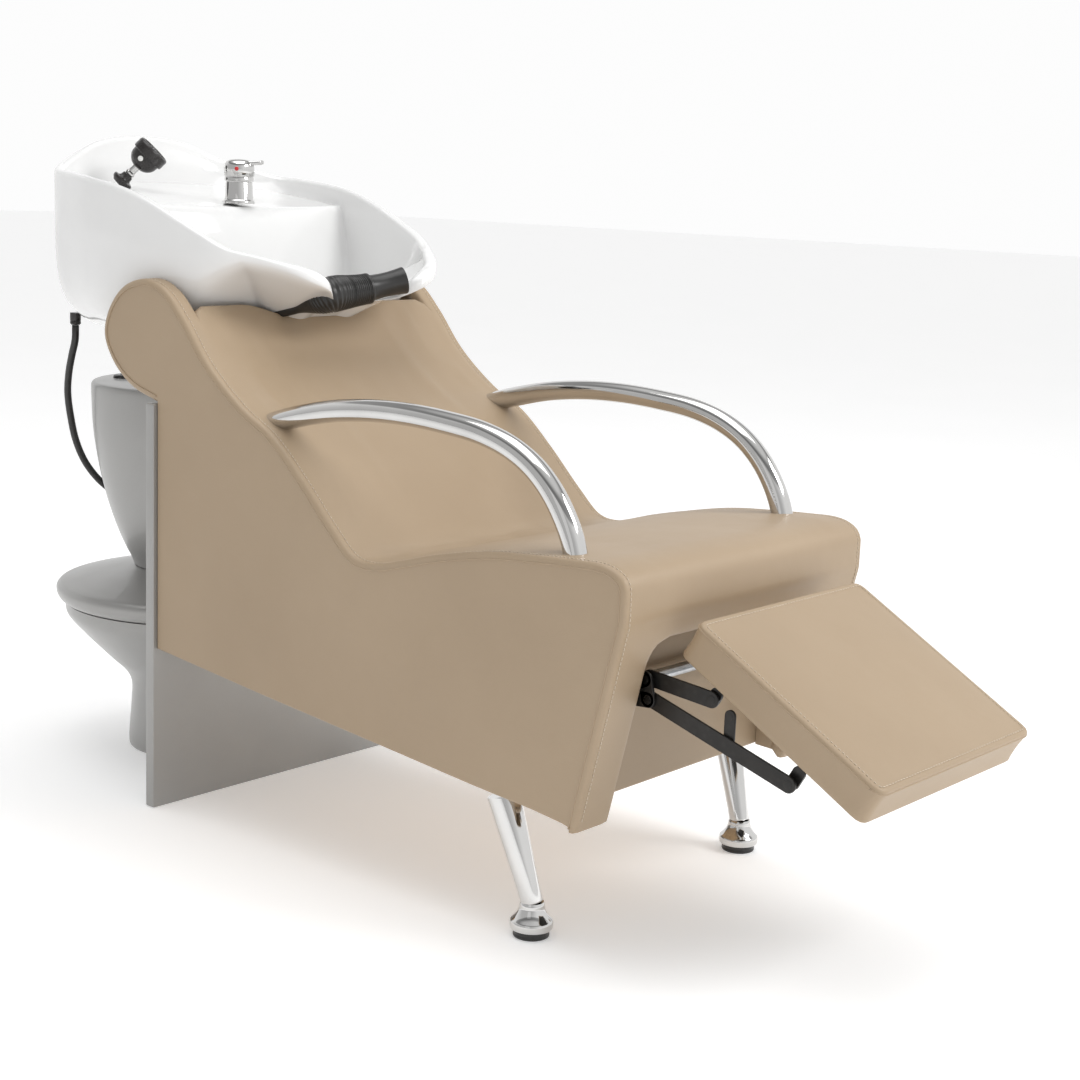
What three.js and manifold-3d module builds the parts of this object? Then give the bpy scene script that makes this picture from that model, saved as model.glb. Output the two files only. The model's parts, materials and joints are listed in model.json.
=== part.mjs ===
// Shampoo backwash unit: an upholstered lounge with a folding leg rest, a rear board and a
// sculpted pedestal that carries a tilting wash basin with its mixer, hand spray and neck rest.
// Millimetres. +Z is up, the client faces -Y and X = 0 is the middle of the seat.
// Pieces are drawn about a working datum close to the seat's lowest point. The whole unit then
// moves so that the origin lies on the floor under the middle of its bounding box.
import * as THREE from 'three';
import { mergeVertices } from 'three/addons/utils/BufferGeometryUtils.js';
import Module from 'manifold-3d';

const wasm = await Module();
wasm.setup();

// ---------- driving dimensions ----------
const GAP = 0.3;                 // clearance between pieces that touch
const FOOTPRINT_MIDDLE_Y = 96;   // datum to the middle of the unit's length

const BODY_HALF = 280;           // half the lounge's width
const PANEL_THICK = 25;          // upholstered side panel
const CENTRE_HALF = BODY_HALF - PANEL_THICK - GAP;
const CUSHION_THICK = 64;
const DECK_THICK = 15;
const BAY_HALF = 205;            // half the width of the leg rest bay
const BAY_TOP = 429;
const RECESS_Y = -322;           // front of the bay's back wall

const BOARD_HALF = 286;
const BOARD_FRONT = 479;
const BOARD_THICK = 19;
const BOARD_HEIGHT = 645;

const ARM_X = 239.6;             // armrest centre plane
const ARM_RADIUS = 16;

const FOOT = { x: 244.3, y: -277, radius: 30, rimZ: 25, neckZ: 46, padRadius: 25, padTop: 10 };
const LEG = { topX: 258, topY: -233, topZ: 186, topRadius: 22.5, lowRadius: 15.5 };

const COLUMN_Y = 720;            // centre of the rear pedestal
const COLUMN_TOP = 640;
const SHELL_WALL = 6;
const GROMMET = [-62, 832];      // cable grommet in the pedestal's top
const TRAY_RADIUS = 239;
const TRAY_UNDER = 262;

const TILT = { y: 660, z: 684, pinRadius: 7 };
const BASIN_MIDDLE = [0, 530];   // plan centre that the bowl's rings shrink towards
const BASIN_FLOOR = 727;
const BASIN_WALL = 17;
const RIM_CAP = 962;              // height of the cap that closes the form over the rim
const MIXER = { y: 618, z: 946, radius: 23 };
const SPRAY_BASE = [-112, 778, 976];
const SPRAY_AXIS = [0.5, -0.5, 0.707];

const PAD = { rearY: -486, rearZ: 465, length: 323, half: 194, thick: 54.5, slope: 29.5 };
const CRANK_PIVOT = [-340, 345];
const CRANK_LOW = [-419, 350];   // pin of the lower bars
const CRANK_HIGH = [-413, 376];  // pin of the upper bars
const LOWER_END = [-635, 286];
const UPPER_END = [-511, 367];
const BAR = { halfWidth: 11, thick: 4 };
const LAYER = { bracket: 200.5, crank: 195, lower: 190, upper: 185, lug: 180 };

// Top of the seat and back along the lounge's sides, front edge to head roll, as [y, z].
const SEAT_LINE = [[-379, 535], [-297, 530], [-204, 521], [-104, 500], [-48, 484], [8, 471],
  [46, 475], [92, 512], [155, 572], [220, 626], [286, 660], [361, 716], [412, 774]];
const ROLL_LINE = [[412, 774], [459, 817], [506, 832], [563, 818], [600, 780], [611, 740],
  [588, 698], [543, 665], [BOARD_FRONT + 3, 647]];
const FRONT_TOP = [-438, 500];
const FRONT_LOW = [-371, 176];

// Half of the basin's rim from the middle of the back to the middle of the neck, as [x, y, z].
const RIM = [[0, 880, 1050], [94, 872, 1040], [146, 862, 1021], [190, 838, 1007], [236, 796, 991],
  [252, 734, 986], [261, 672, 979], [258, 610, 969], [253, 550, 953], [246, 475, 924],
  [236, 420, 900], [221, 389, 884], [194, 355, 874], [167, 325, 865], [141, 302, 856],
  [116, 286, 846], [92, 286, 832], [60, 304, 818], [0, 318, 812]];

// The free hose's route from the basin's tail to the pedestal's inlet.
const HOSE_ROUTE = [[-185, 812, 735], [-185, 813, 712], [-181, 828, 684], [-173, 848, 652],
  [-164, 864, 616], [-152, 873, 574], [-137, 879, 530], [-118, 880, 492], [-97, 874, 462],
  [-74, 864, 438]];
const HOSE_RADIUS = 6;

// ---------- finishes ----------
const finish = (color, roughness, metalness = 0) =>
  new THREE.MeshStandardMaterial({ color, roughness, metalness });
const leather = finish(0xb7a488, 0.55);
const plywood = finish(0xb9935f, 0.8);
const silver = finish(0xa8a6a1, 0.35, 0.4);
const chrome = finish(0xd8d8d8, 0.08, 1);
const ceramic = finish(0xf6f6f4, 0.12);
const blackRubber = finish(0x1c1b1a, 0.6);
const blackSteel = finish(0x1a1817, 0.45, 0.5);
const blackPlastic = finish(0x24211f, 0.4);
const whitePlastic = finish(0xe9e8e4, 0.4);
const redPlastic = finish(0xb3262a, 0.35);
const steel = finish(0xa9abad, 0.3, 1);

const unit = new THREE.Group();
unit.position.y = -FOOTPRINT_MIDDLE_Y;

function place(name, geometry, material) {
  const mesh = new THREE.Mesh(geometry, material);
  mesh.name = name;
  unit.add(mesh);
  return mesh;
}

// ---------- shape helpers ----------
const { PI, cos, sin, max, min, pow, sqrt } = Math;
const rad = (degrees) => degrees * PI / 180;

// An outline of [y, z] points pushed across the unit from x0 to x1.
function acrossX(outline, x0, x1) {
  const shape = outline instanceof THREE.Shape ? outline : new THREE.Shape(outline.map(([y, z]) =>
      new THREE.Vector2(y, z)));
  const geometry = new THREE.ExtrudeGeometry(shape,
      { depth: x1 - x0, bevelEnabled: false, curveSegments: 6 });
  const turn = new THREE.Matrix4().makeBasis(
    new THREE.Vector3(0, 1, 0), new THREE.Vector3(0, 0, 1), new THREE.Vector3(1, 0, 0));
  return geometry.applyMatrix4(turn.setPosition(x0, 0, 0));
}

// A box given by its lowest and highest corners.
function block([x0, y0, z0], [x1, y1, z1]) {
  const geometry = new THREE.BoxGeometry(x1 - x0, y1 - y0, z1 - z0);
  return geometry.translate((x0 + x1) / 2, (y0 + y1) / 2, (z0 + z1) / 2);
}

// A plate in the XY plane with rounded corners, between two heights.
function roundedPlate(halfX, halfY, radius, z0, z1) {
  const shape = new THREE.Shape();
  const corner = [[1, 1, 0], [-1, 1, 90], [-1, -1, 180], [1, -1, 270]];
  for (const [sx, sy, from] of corner) {
    shape.absarc(sx * (halfX - radius), sy * (halfY - radius), radius, rad(from), rad(from + 90), false);
  }
  const geometry = new THREE.ExtrudeGeometry(shape,
      { depth: z1 - z0, bevelEnabled: false, curveSegments: 5 });
  return geometry.translate(0, 0, z0);
}

// A solid of revolution about +Z from [radius, z] points.
function turned(profile, segments = 32) {
  const points = profile.map(([r, z]) => new THREE.Vector2(r, z));
  return new THREE.LatheGeometry(points, segments).rotateX(PI / 2);
}

// The same, drawn along a direction from a base point.
function turnedAlong(profile, base, direction, segments = 24) {
  const turn = new THREE.Quaternion().setFromUnitVectors(
    new THREE.Vector3(0, 0, 1), new THREE.Vector3(...direction).normalize());
  return turned(profile, segments).applyQuaternion(turn).translate(...base);
}

const rod = (radius, x0, x1, y, z, segments = 16) =>
  new THREE.CylinderGeometry(radius, radius, x1 - x0, segments).rotateZ(PI / 2).translate((x0 + x1) / 2, y,
      z);

function toSolid(geometry) {
  const bare = geometry.clone();
  bare.deleteAttribute('normal');
  bare.deleteAttribute('uv');
  const merged = mergeVertices(bare, 1e-4);
  return new wasm.Manifold(new wasm.Mesh({
    numProp: 3,
    vertProperties: new Float32Array(merged.attributes.position.array),
    triVerts: new Uint32Array(merged.index.array),
  }));
}

function toGeometry(solid) {
  const mesh = solid.getMesh();
  const geometry = new THREE.BufferGeometry();
  geometry.setAttribute('position', new THREE.BufferAttribute(new Float32Array(mesh.vertProperties), 3));
  geometry.setIndex(new THREE.BufferAttribute(new Uint32Array(mesh.triVerts), 1));
  return geometry;
}

const cut = (base, ...tools) => toGeometry(tools.reduce((s, t) => s.subtract(toSolid(t)), toSolid(base)));
const join = (...pieces) => toGeometry(pieces.slice(1).reduce((s, t) => s.add(toSolid(t)),
  toSolid(pieces[0])));

function sweep(points, radius, sides, steps) {
  const path = new THREE.CatmullRomCurve3(points.map((p) => new THREE.Vector3(...p)), false, 'centripetal');
  const section = new THREE.Shape();
  section.absarc(0, 0, radius, 0, 2 * PI, false);
  return new THREE.ExtrudeGeometry(section, { steps, bevelEnabled: false, extrudePath: path,
      curveSegments: sides / 2 });
}

const spline2 = (points) => new THREE.SplineCurve(points.map(([y, z]) => new THREE.Vector2(y, z)));
const seatCurve = spline2(SEAT_LINE);
const lastSeat = SEAT_LINE.length - 1;

// Points on the seat line between two control indices, moved down along its normal.
function seatPoints(from, to, count, depth = 0) {
  return Array.from({ length: count + 1 }, (_, i) => {
    const t = (from + (to - from) * i / count) / lastSeat;
    const point = seatCurve.getPoint(t);
    const along = seatCurve.getTangent(t);
    return [point.x + along.y * depth, point.y - along.x * depth];
  });
}

// ---------- lounge ----------
// The rounded edge between the seat's top and the front face.
function frontEdge() {
  const curve = new THREE.CubicBezierCurve(
    new THREE.Vector2(-379, 535), new THREE.Vector2(-412, 536),
    new THREE.Vector2(-440, 526), new THREE.Vector2(...FRONT_TOP));
  return curve.getPoints(7).map((p) => [p.x, p.y]);
}

function bottomEdge() {
  return [[BOARD_FRONT - GAP, 257], [235, 233], [8, 213], [-190, 195], [-297, 187], [-349, 181], FRONT_LOW];
}

// A straight line down the front face, at a given height.
const frontFaceY = (z) => -438 + (465 - z) * (67 / 289);

function sidePanelOutline() {
  const roll = spline2(ROLL_LINE).getPoints(28).map((p) => [p.x, p.y]);
  const overBoard = [[BOARD_FRONT - GAP, BOARD_HEIGHT + 2.4], [BOARD_FRONT - GAP, BOARD_HEIGHT]];
  return [...frontEdge().reverse(), ...seatPoints(0, lastSeat, 44).slice(1), ...roll.slice(1),
    ...overBoard, ...bottomEdge(), [frontFaceY(465), 465]];
}

function addLounge() {
  const outline = sidePanelOutline();
  place('side_panel_left', acrossX(outline, -BODY_HALF, -BODY_HALF + PANEL_THICK), leather);
  place('side_panel_right', acrossX(outline, BODY_HALF - PANEL_THICK, BODY_HALF), leather);

  const half = CENTRE_HALF;
  const seat = [...seatPoints(0, 5.6, 16), ...seatPoints(0, 5.6, 8, CUSHION_THICK).reverse()];
  place('seat_cushion', acrossX(seat, -half, half), leather);
  const back = [...seatPoints(5.61, lastSeat, 20),
      ...seatPoints(5.61, lastSeat, 10, CUSHION_THICK).reverse()];
  place('back_cushion', acrossX(back, -half, half), leather);

  const top = CUSHION_THICK + GAP;
  const bottom = top + DECK_THICK;
  const seatDeck = [...seatPoints(0, 5.6, 8, top), ...seatPoints(0, 5.6, 8, bottom).reverse()];
  place('seat_deck', acrossX(seatDeck, -half, half), plywood);
  const backDeck = [...seatPoints(5.61, lastSeat, 10, top),
      ...seatPoints(5.61, lastSeat, 10, bottom).reverse()];
  place('back_deck', acrossX(backDeck, -half, half), plywood);

  const apron = [...frontEdge().slice(1), [frontFaceY(465), 465], [frontFaceY(BAY_TOP), BAY_TOP],
    [-387, BAY_TOP], [-380, 534.8]];
  place('front_apron', acrossX(apron, -half, half), leather);

  const columnTop = BAY_TOP - GAP;
  const column = [[frontFaceY(columnTop), columnTop], FRONT_LOW, [-349, 181], [RECESS_Y - GAP, 184.5],
    [RECESS_Y - GAP, columnTop]];
  place('front_column_left', acrossX(column, -half, -BAY_HALF), leather);
  place('front_column_right', acrossX(column, BAY_HALF, half), leather);
  const recess = [[RECESS_Y, 185.5], [RECESS_Y + 16, 187], [RECESS_Y + 16, 448], [RECESS_Y, 448]];
  place('recess_panel', acrossX(recess, -half, half), leather);

  const under = [[RECESS_Y + 16 + GAP, 192], [460, 255], [460, 267], [RECESS_Y + 16 + GAP, 204]];
  place('bottom_panel', acrossX(under, -half, half), plywood);
  const cradle = [[BOARD_FRONT + 2, 648], [548, 672], [560, 700], [543, 711], [492, 711],
      [BOARD_FRONT + 2, 700]];
  place('roll_bridge', acrossX(cradle, -half, half), leather);
}

function addRearBoard() {
  const rear = BOARD_FRONT + BOARD_THICK;
  const shape = new THREE.Shape();
  shape.moveTo(-BOARD_HALF, BOARD_FRONT);
  shape.lineTo(BOARD_HALF, BOARD_FRONT);
  shape.absarc(BOARD_HALF - 7, rear - 7, 7, 0, PI / 2, false);
  shape.absarc(-BOARD_HALF + 7, rear - 7, 7, PI / 2, PI, false);
  const geometry = new THREE.ExtrudeGeometry(shape,
      { depth: BOARD_HEIGHT - 0.4, bevelEnabled: false, curveSegments: 4 });
  place('rear_board', geometry, silver);
}

function addArmrests() {
  const route = [[300, 618], [270, 632], [235, 644], [180, 658], [124, 669], [51, 677], [-20, 679],
      [-88, 676],
    [-155, 669], [-207, 655], [-248, 634], [-280, 606], [-303, 575], [-318, 546], [-326, 520]];
  const surface = [...seatPoints(0, lastSeat, 44, -0.5), [412, 300], [-379, 300]];
  const lounge = acrossX(surface, -BODY_HALF - 10, BODY_HALF + 10);
  for (const [side, name] of [[-1, 'armrest_left'], [1, 'armrest_right']]) {
    const points = route.map(([y, z]) => [side * ARM_X, y, z]);
    place(name, cut(sweep(points, ARM_RADIUS, 12, 28), lounge), chrome);
  }
}

function addLegs() {
  for (const [side, end] of [[-1, 'left'], [1, 'right']]) {
    const low = new THREE.Vector3(side * FOOT.x, FOOT.y, FOOT.neckZ);
    const high = new THREE.Vector3(side * LEG.topX, LEG.topY, LEG.topZ);
    const axis = high.clone().sub(low).normalize();
    const spare = 12;
    const length = high.distanceTo(low) + 2 * spare;
    const leg = new THREE.CylinderGeometry(LEG.topRadius, LEG.lowRadius, length, 20);
    leg.applyQuaternion(new THREE.Quaternion().setFromUnitVectors(new THREE.Vector3(0, 1, 0), axis));
    leg.translate((low.x + high.x) / 2, (low.y + high.y) / 2, (low.z + high.z) / 2);
    const below = block([side * FOOT.x - 80, FOOT.y - 80, -40],
        [side * FOOT.x + 80, FOOT.y + 80, FOOT.neckZ + GAP]);
    const above = block([side * FOOT.x - 80, FOOT.y - 80, LEG.topZ],
        [side * FOOT.x + 80, FOOT.y + 140, LEG.topZ + 80]);
    place(`leg_${end}`, cut(leg, below, above), chrome);

    const bell = [[0, FOOT.padTop + GAP], [FOOT.radius - 2, FOOT.padTop + GAP], [FOOT.radius, 13],
      [FOOT.radius, FOOT.rimZ - 4], [FOOT.radius - 2, FOOT.rimZ], [21, 33], [17.5, 40], [16.5, FOOT.neckZ],
          [0, FOOT.neckZ]];
    place(`foot_${end}`, turned(bell, 28).translate(side * FOOT.x, FOOT.y, 0), chrome);
    const pad = [[0, 0], [FOOT.padRadius - 1.5, 0], [FOOT.padRadius, 1.5], [FOOT.padRadius, FOOT.padTop],
        [0, FOOT.padTop]];
    place(`foot_pad_${end}`, turned(pad, 24).translate(side * FOOT.x, FOOT.y, 0), blackRubber);
  }
}

// ---------- rear pedestal ----------
// Where the hose meets the pedestal, and the direction that it runs in there.
function hoseEnd() {
  const end = new THREE.Vector3(...HOSE_ROUTE.at(-1));
  const inward = end.clone().sub(new THREE.Vector3(...HOSE_ROUTE.at(-2))).normalize();
  return { end, inward };
}

function addPedestal() {
  const clearOfBoard = block([-400, 300, -20], [400, BOARD_FRONT + BOARD_THICK + GAP, 400]);
  const outer = [[108, 325], [112, 336], [125, 362], [142, 405], [157, 455], [168, 505], [176, 560],
      [179, 620],
    [179, COLUMN_TOP - 6], [173, COLUMN_TOP]];
  const ceiling = COLUMN_TOP - 8;
  const inner = outer.slice(0, -1).map(([r, z]) => [r - SHELL_WALL, min(z, ceiling)]).reverse();
  const column = turned([[0, ceiling], ...inner, ...outer, [0, COLUMN_TOP]], 40).translate(0, COLUMN_Y, 0);
  const grommetHole = new THREE.CylinderGeometry(24, 24, 40, 20).rotateX(PI / 2).scale(1, 0.7, 1);
  grommetHole.translate(GROMMET[0], GROMMET[1], COLUMN_TOP);
  const { end, inward } = hoseEnd();
  const inletHole = turnedAlong([[0, -6], [12.6, -6], [12.6, 34], [0, 34]], end.toArray(), inward.toArray());
  place('column_shell', cut(column, grommetHole, inletHole), silver);

  const collar = [[16, COLUMN_TOP - 12], [22, COLUMN_TOP - 12], [22, COLUMN_TOP + GAP],
      [28, COLUMN_TOP + GAP],
    [28, COLUMN_TOP + 2.5], [24, COLUMN_TOP + 5], [16, COLUMN_TOP + 5], [16, COLUMN_TOP - 12]];
  place('hose_grommet', turned(collar, 20).scale(1, 0.7, 1).translate(...GROMMET, 0), blackPlastic);

  const rim = TRAY_RADIUS;
  const tray = [[0, TRAY_UNDER], [rim - 14, TRAY_UNDER], [rim - 4, TRAY_UNDER + 9], [rim, TRAY_UNDER + 20],
    [rim - 3, TRAY_UNDER + 29], [rim - 12, TRAY_UNDER + 34], [200, 303], [160, 312], [120, 320],
        [106, 324.6], [0, 324.6]];
  place('tray', cut(turned(tray, 48).translate(0, COLUMN_Y, 0), clearOfBoard), silver);

  const funnel = [[117, 0], [117, 12], [115, 58], [112, 118], [124, 138], [146, 160], [184, 198], [220, 240],
    [rim - 15, TRAY_UNDER - GAP]];
  const hollow = funnel.map(([r, z]) => [r - SHELL_WALL, z]).reverse();
  const base = turned([...funnel, ...hollow, funnel[0]], 48).translate(0, COLUMN_Y, 0);
  place('pedestal_base', cut(base, clearOfBoard), silver);
}

// ---------- basin ----------
function rimCurve() {
  const left = RIM.slice(1, -1).map(([x, y, z]) => [-x, y, z]).reverse();
  const points = [...RIM, ...left].map((p) => new THREE.Vector3(...p));
  return new THREE.CatmullRomCurve3(points, true, 'centripetal');
}

// Height of the wall, 0 at the floor and 1 at the rim, at a fraction of the way out to the rim.
// The back and sides are steep, and the front sweeps up to the neck in a long bow.
function wallHeight(fraction, rimY) {
  const t = min(max((rimY - 300) / 220, 0), 1);
  const steep = t * t * (3 - 2 * t);
  const power = 2 + 3.7 * steep;
  const box = 1 - pow(1 - pow(fraction, power), 1 / power);
  const bow = sin(PI / 2 * fraction) ** 2;
  return bow * (1 - steep) + box * steep;
}

// A surface of rings from the bowl's underside, closed over the rim or hollowed out by a wall.
// The margin makes it thicker all round.
function basinForm(hollow, margin = 0) {
  const around = 52;
  const rim = rimCurve().getSpacedPoints(around).slice(0, around);
  const [cx, cy] = BASIN_MIDDLE;
  const low = BASIN_FLOOR + BASIN_WALL;
  const rings = [];
  const outward = [0.15, 0.32, 0.5, 0.66, 0.8, 0.9, 0.96, 0.99, 1];
  for (const f of outward) {
    rings.push(rim.map((p) => {
      const reach = sqrt((p.x - cx) ** 2 + (p.y - cy) ** 2);
      const scale = (reach + margin) / reach * f;
      const height = BASIN_FLOOR + (p.z - BASIN_FLOOR) * wallHeight(f, p.y);
      return [cx + (p.x - cx) * scale, cy + (p.y - cy) * scale, height + (f === 1 ? margin : -margin)];
    }));
  }
  const inward = hollow ? [1, 0.985, 0.96, 0.92, 0.86, 0.78, 0.68, 0.56, 0.42, 0.3, 0.2, 0.12, 0.06] : [];
  for (const f of inward) {
    rings.push(rim.map((p) => {
      const reach = sqrt((p.x - cx) ** 2 + (p.y - cy) ** 2);
      const scale = (reach - BASIN_WALL - margin) / reach * f;
      const height = margin + low + (p.z - 1 - low) * wallHeight(f, p.y);
      return [cx + (p.x - cx) * scale, cy + (p.y - cy) * scale, height];
    }));
  }
  const position = [cx, cy, BASIN_FLOOR - margin];
  rings.forEach((ring) => ring.forEach((p) => position.push(...p)));
  position.push(cx, cy, hollow ? low + margin : RIM_CAP);
  const index = [];
  const at = (ring, i) => 1 + ring * around + (i + around) % around;
  const last = position.length / 3 - 1;
  for (let i = 0; i < around; i++) {
    index.push(0, at(0, i), at(0, i + 1));
    for (let ring = 0; ring < rings.length - 1; ring++) {
      index.push(at(ring, i), at(ring + 1, i), at(ring + 1, i + 1));
      index.push(at(ring, i), at(ring + 1, i + 1), at(ring, i + 1));
    }
    index.push(at(rings.length - 1, i), last, at(rings.length - 1, i + 1));
  }
  const geometry = new THREE.BufferGeometry();
  geometry.setAttribute('position', new THREE.BufferAttribute(new Float32Array(position), 3));
  geometry.setIndex(index);
  return geometry;
}

// The shelf behind the bowl that carries the mixer and the spray, filling the shell to a sloping top.
function basinShelf() {
  const filling = acrossX([[566, BASIN_FLOOR - 20], [900, BASIN_FLOOR - 20], [900, 978], [600, 939],
      [584, 937]], -300, 300);
  const inside = basinForm(false, -4);
  return toGeometry(toSolid(filling).intersect(toSolid(inside)));
}

function addBasin() {
  const drain = [0, 525];
  const drainHole = new THREE.CylinderGeometry(24, 24, 90, 24).rotateX(PI / 2).translate(...drain, 730);
  place('basin_bowl', cut(join(basinForm(true), basinShelf()), drainHole), ceramic);
  const strainer = [[0, 749], [20, 750], [29, 756], [28, 757.5], [20, 752.5], [0, 751]];
  place('drain_strainer', turned(strainer, 24).translate(...drain, 0), chrome);
  const tail = [[0, 714], [19, 714], [19, 724], [23, 728], [23, 744], [0, 744]];
  place('waste_tail', turned(tail, 20).translate(...drain, 0), whitePlastic);

  const shell = basinForm(true, 1.4);
  const seated = (roll) => toGeometry(toSolid(roll).subtract(toSolid(shell)).simplify(0.2));
  // The neck rest is one curved roll: a ribbed main length, a collar band and a smooth end.
  const neckPath = [[-84, 345, 812], [-62, 331, 817], [-25, 331, 818], [8, 326, 823], [40, 314, 830],
      [70, 299, 838]];
  const between = (radius, x0, x1) => seated(cut(sweep(neckPath, radius, 14, 20),
    block([-200, 200, 700], [x0, 400, 950]), block([x1, 200, 700], [200, 400, 950])));
  place('neck_rest', between(26, -150, 8), blackRubber);
  place('neck_collar', between(23.5, 8 + GAP, 15), blackRubber);
  place('neck_rest_end', between(19, 15 + GAP, 150), blackRubber);

  const slab = roundedPlate(120, 100, 40, 706, 715);
  const lugLeft = block([-52, TILT.y - 22, TILT.z - 14], [-42, TILT.y + 22, 708]);
  const lugRight = block([42, TILT.y - 22, TILT.z - 14], [52, TILT.y + 22, 708]);
  const saddle = cut(join(slab.translate(0, 690, 0), lugLeft, lugRight),
      rod(TILT.pinRadius + GAP, -60, 60, TILT.y, TILT.z));
  place('tilt_saddle', saddle, whitePlastic);
}

// The single-lever mixer on the shelf: fixed body, swivelling collar and lifting lever.
function addMixer() {
  const { y, z, radius } = MIXER;
  const body = [[0, z], [radius + 3, z], [radius + 3, z + 4], [radius, z + 6], [radius - 1, z + 34],
      [0, z + 34]];
  place('mixer_body', turned(body, 28).translate(0, y, 0), chrome);
  const collar = [[0, z + 34.4], [radius + 1, z + 34.4], [radius + 1, z + 42], [0, z + 42]];
  place('mixer_collar', turned(collar, 28).translate(0, y, 0), chrome);
  const cap = [[0, z + 42.6], [radius + 1.5, z + 42.6], [radius + 2, z + 58], [radius - 1, z + 67],
      [radius - 8, z + 70], [0, z + 71]];
  const handle = new THREE.Shape();
  handle.moveTo(-4, -12);
  handle.lineTo(30, -9);
  handle.absarc(33, 0, 9, -PI / 2, PI / 2, false);
  handle.lineTo(-4, 12);
  const blade = new THREE.ExtrudeGeometry(handle, { depth: 6, bevelEnabled: false, curveSegments: 5 });
  blade.translate(0, 0, z + 60).rotateZ(rad(-50));
  place('mixer_lever', join(turned(cap, 28), blade).translate(0, y, 0), chrome);
  const dot = [[0, 0], [3.4, 0], [3.4, 1.6], [0, 1.6]];
  const facing = [-0.765, -0.645, 0];
  const seat = radius + 2.4;
  place('mixer_index_dot', turnedAlong(dot, [facing[0] * seat, y + facing[1] * seat, z + 55], facing, 14),
      redPlastic);
}

// The hand spray parked in its socket, drawn along its own axis.
function addSpray() {
  const socket = [[8, 0], [17, 0], [17, 3], [13, 9], [8, 11], [8, 0]];
  place('spray_socket', turnedAlong(socket, SPRAY_BASE, SPRAY_AXIS), blackPlastic);
  const stub = [[0, 2], [6.5, 2], [6.5, 30], [0, 30]];
  place('spray_stub', turnedAlong(stub, SPRAY_BASE, SPRAY_AXIS), chrome);
  const head = [[0, 30.4], [8, 30.4], [15, 33], [21, 38], [24.5, 46], [25, 54], [0, 54]];
  const axis = new THREE.Vector3(...SPRAY_AXIS).normalize();
  const facing = new THREE.Vector3(-0.765, -0.645, 0.1);
  facing.addScaledVector(axis, -facing.dot(axis)).normalize();
  const centre = new THREE.Vector3(...SPRAY_BASE).addScaledVector(axis, 47);
  const seat = centre.clone().addScaledVector(facing, 18);
  const pocket = turnedAlong([[0, 0], [5, 0], [5, 14], [0, 14]], seat.toArray(), facing.toArray(), 16);
  place('spray_head', cut(turnedAlong(head, SPRAY_BASE, SPRAY_AXIS, 28), pocket), blackPlastic);
  const face = [[0, 54.4], [28.5, 54.4], [28.5, 70], [26, 73], [0, 73]];
  place('spray_face', turnedAlong(face, SPRAY_BASE, SPRAY_AXIS, 32), blackPlastic);
  const knob = [[0, 3], [4.5, 3], [4.5, 7.5], [3, 9], [0, 9.2]];
  place('spray_button', turnedAlong(knob, seat.toArray(), facing.toArray(), 16), whitePlastic);
}

function addTiltMount() {
  const z = COLUMN_TOP + GAP;
  const plate = block([-80, TILT.y - 30, z], [80, TILT.y + 60, z + 5]);
  const ear = (x0, x1) => {
    const shape = new THREE.Shape();
    shape.moveTo(TILT.y - 24, z + 4);
    shape.lineTo(TILT.y + 24, z + 4);
    shape.absarc(TILT.y, TILT.z, 14, 0, PI, false);
    return acrossX(shape, x0, x1);
  };
  const hole = rod(TILT.pinRadius + GAP, -100, 100, TILT.y, TILT.z);
  place('tilt_bracket', cut(join(plate, ear(-61, -53), ear(53, 61)), hole), steel);
  place('tilt_pin', rod(TILT.pinRadius, -66, 66, TILT.y, TILT.z), steel);
}

function addHose() {
  const [top] = HOSE_ROUTE;
  const tail = [[0, 0.6], [7, 0.6], [9, 5], [9, 19], [0, 19]];
  place('hose_tail', turned(tail, 18).translate(top[0], top[1], top[2] + GAP), blackPlastic);
  const { end, inward } = hoseEnd();
  const inlet = [[0, 0.9], [9, 0.9], [12, 8], [12, 12], [0, 12]];
  place('hose_inlet', turnedAlong(inlet, end.toArray(), inward.toArray(), 18), blackPlastic);
  place('water_hose', sweep(HOSE_ROUTE, HOSE_RADIUS, 10, 26), blackRubber);
}

// ---------- leg rest ----------
function capsule([y0, z0], [y1, z1], radius) {
  const angle = Math.atan2(z1 - z0, y1 - y0);
  const shape = new THREE.Shape();
  shape.absarc(y1, z1, radius, angle - PI / 2, angle + PI / 2, false);
  shape.absarc(y0, z0, radius, angle + PI / 2, angle + 3 * PI / 2, false);
  return shape;
}

// A flat link between two pins, on one side of the unit.
function link(side, layer, from, to, radius = BAR.halfWidth, thick = BAR.thick) {
  const [x0, x1] = side < 0 ? [-layer - thick, -layer] : [layer, layer + thick];
  return acrossX(capsule(from, to, radius), x0, x1);
}

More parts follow.
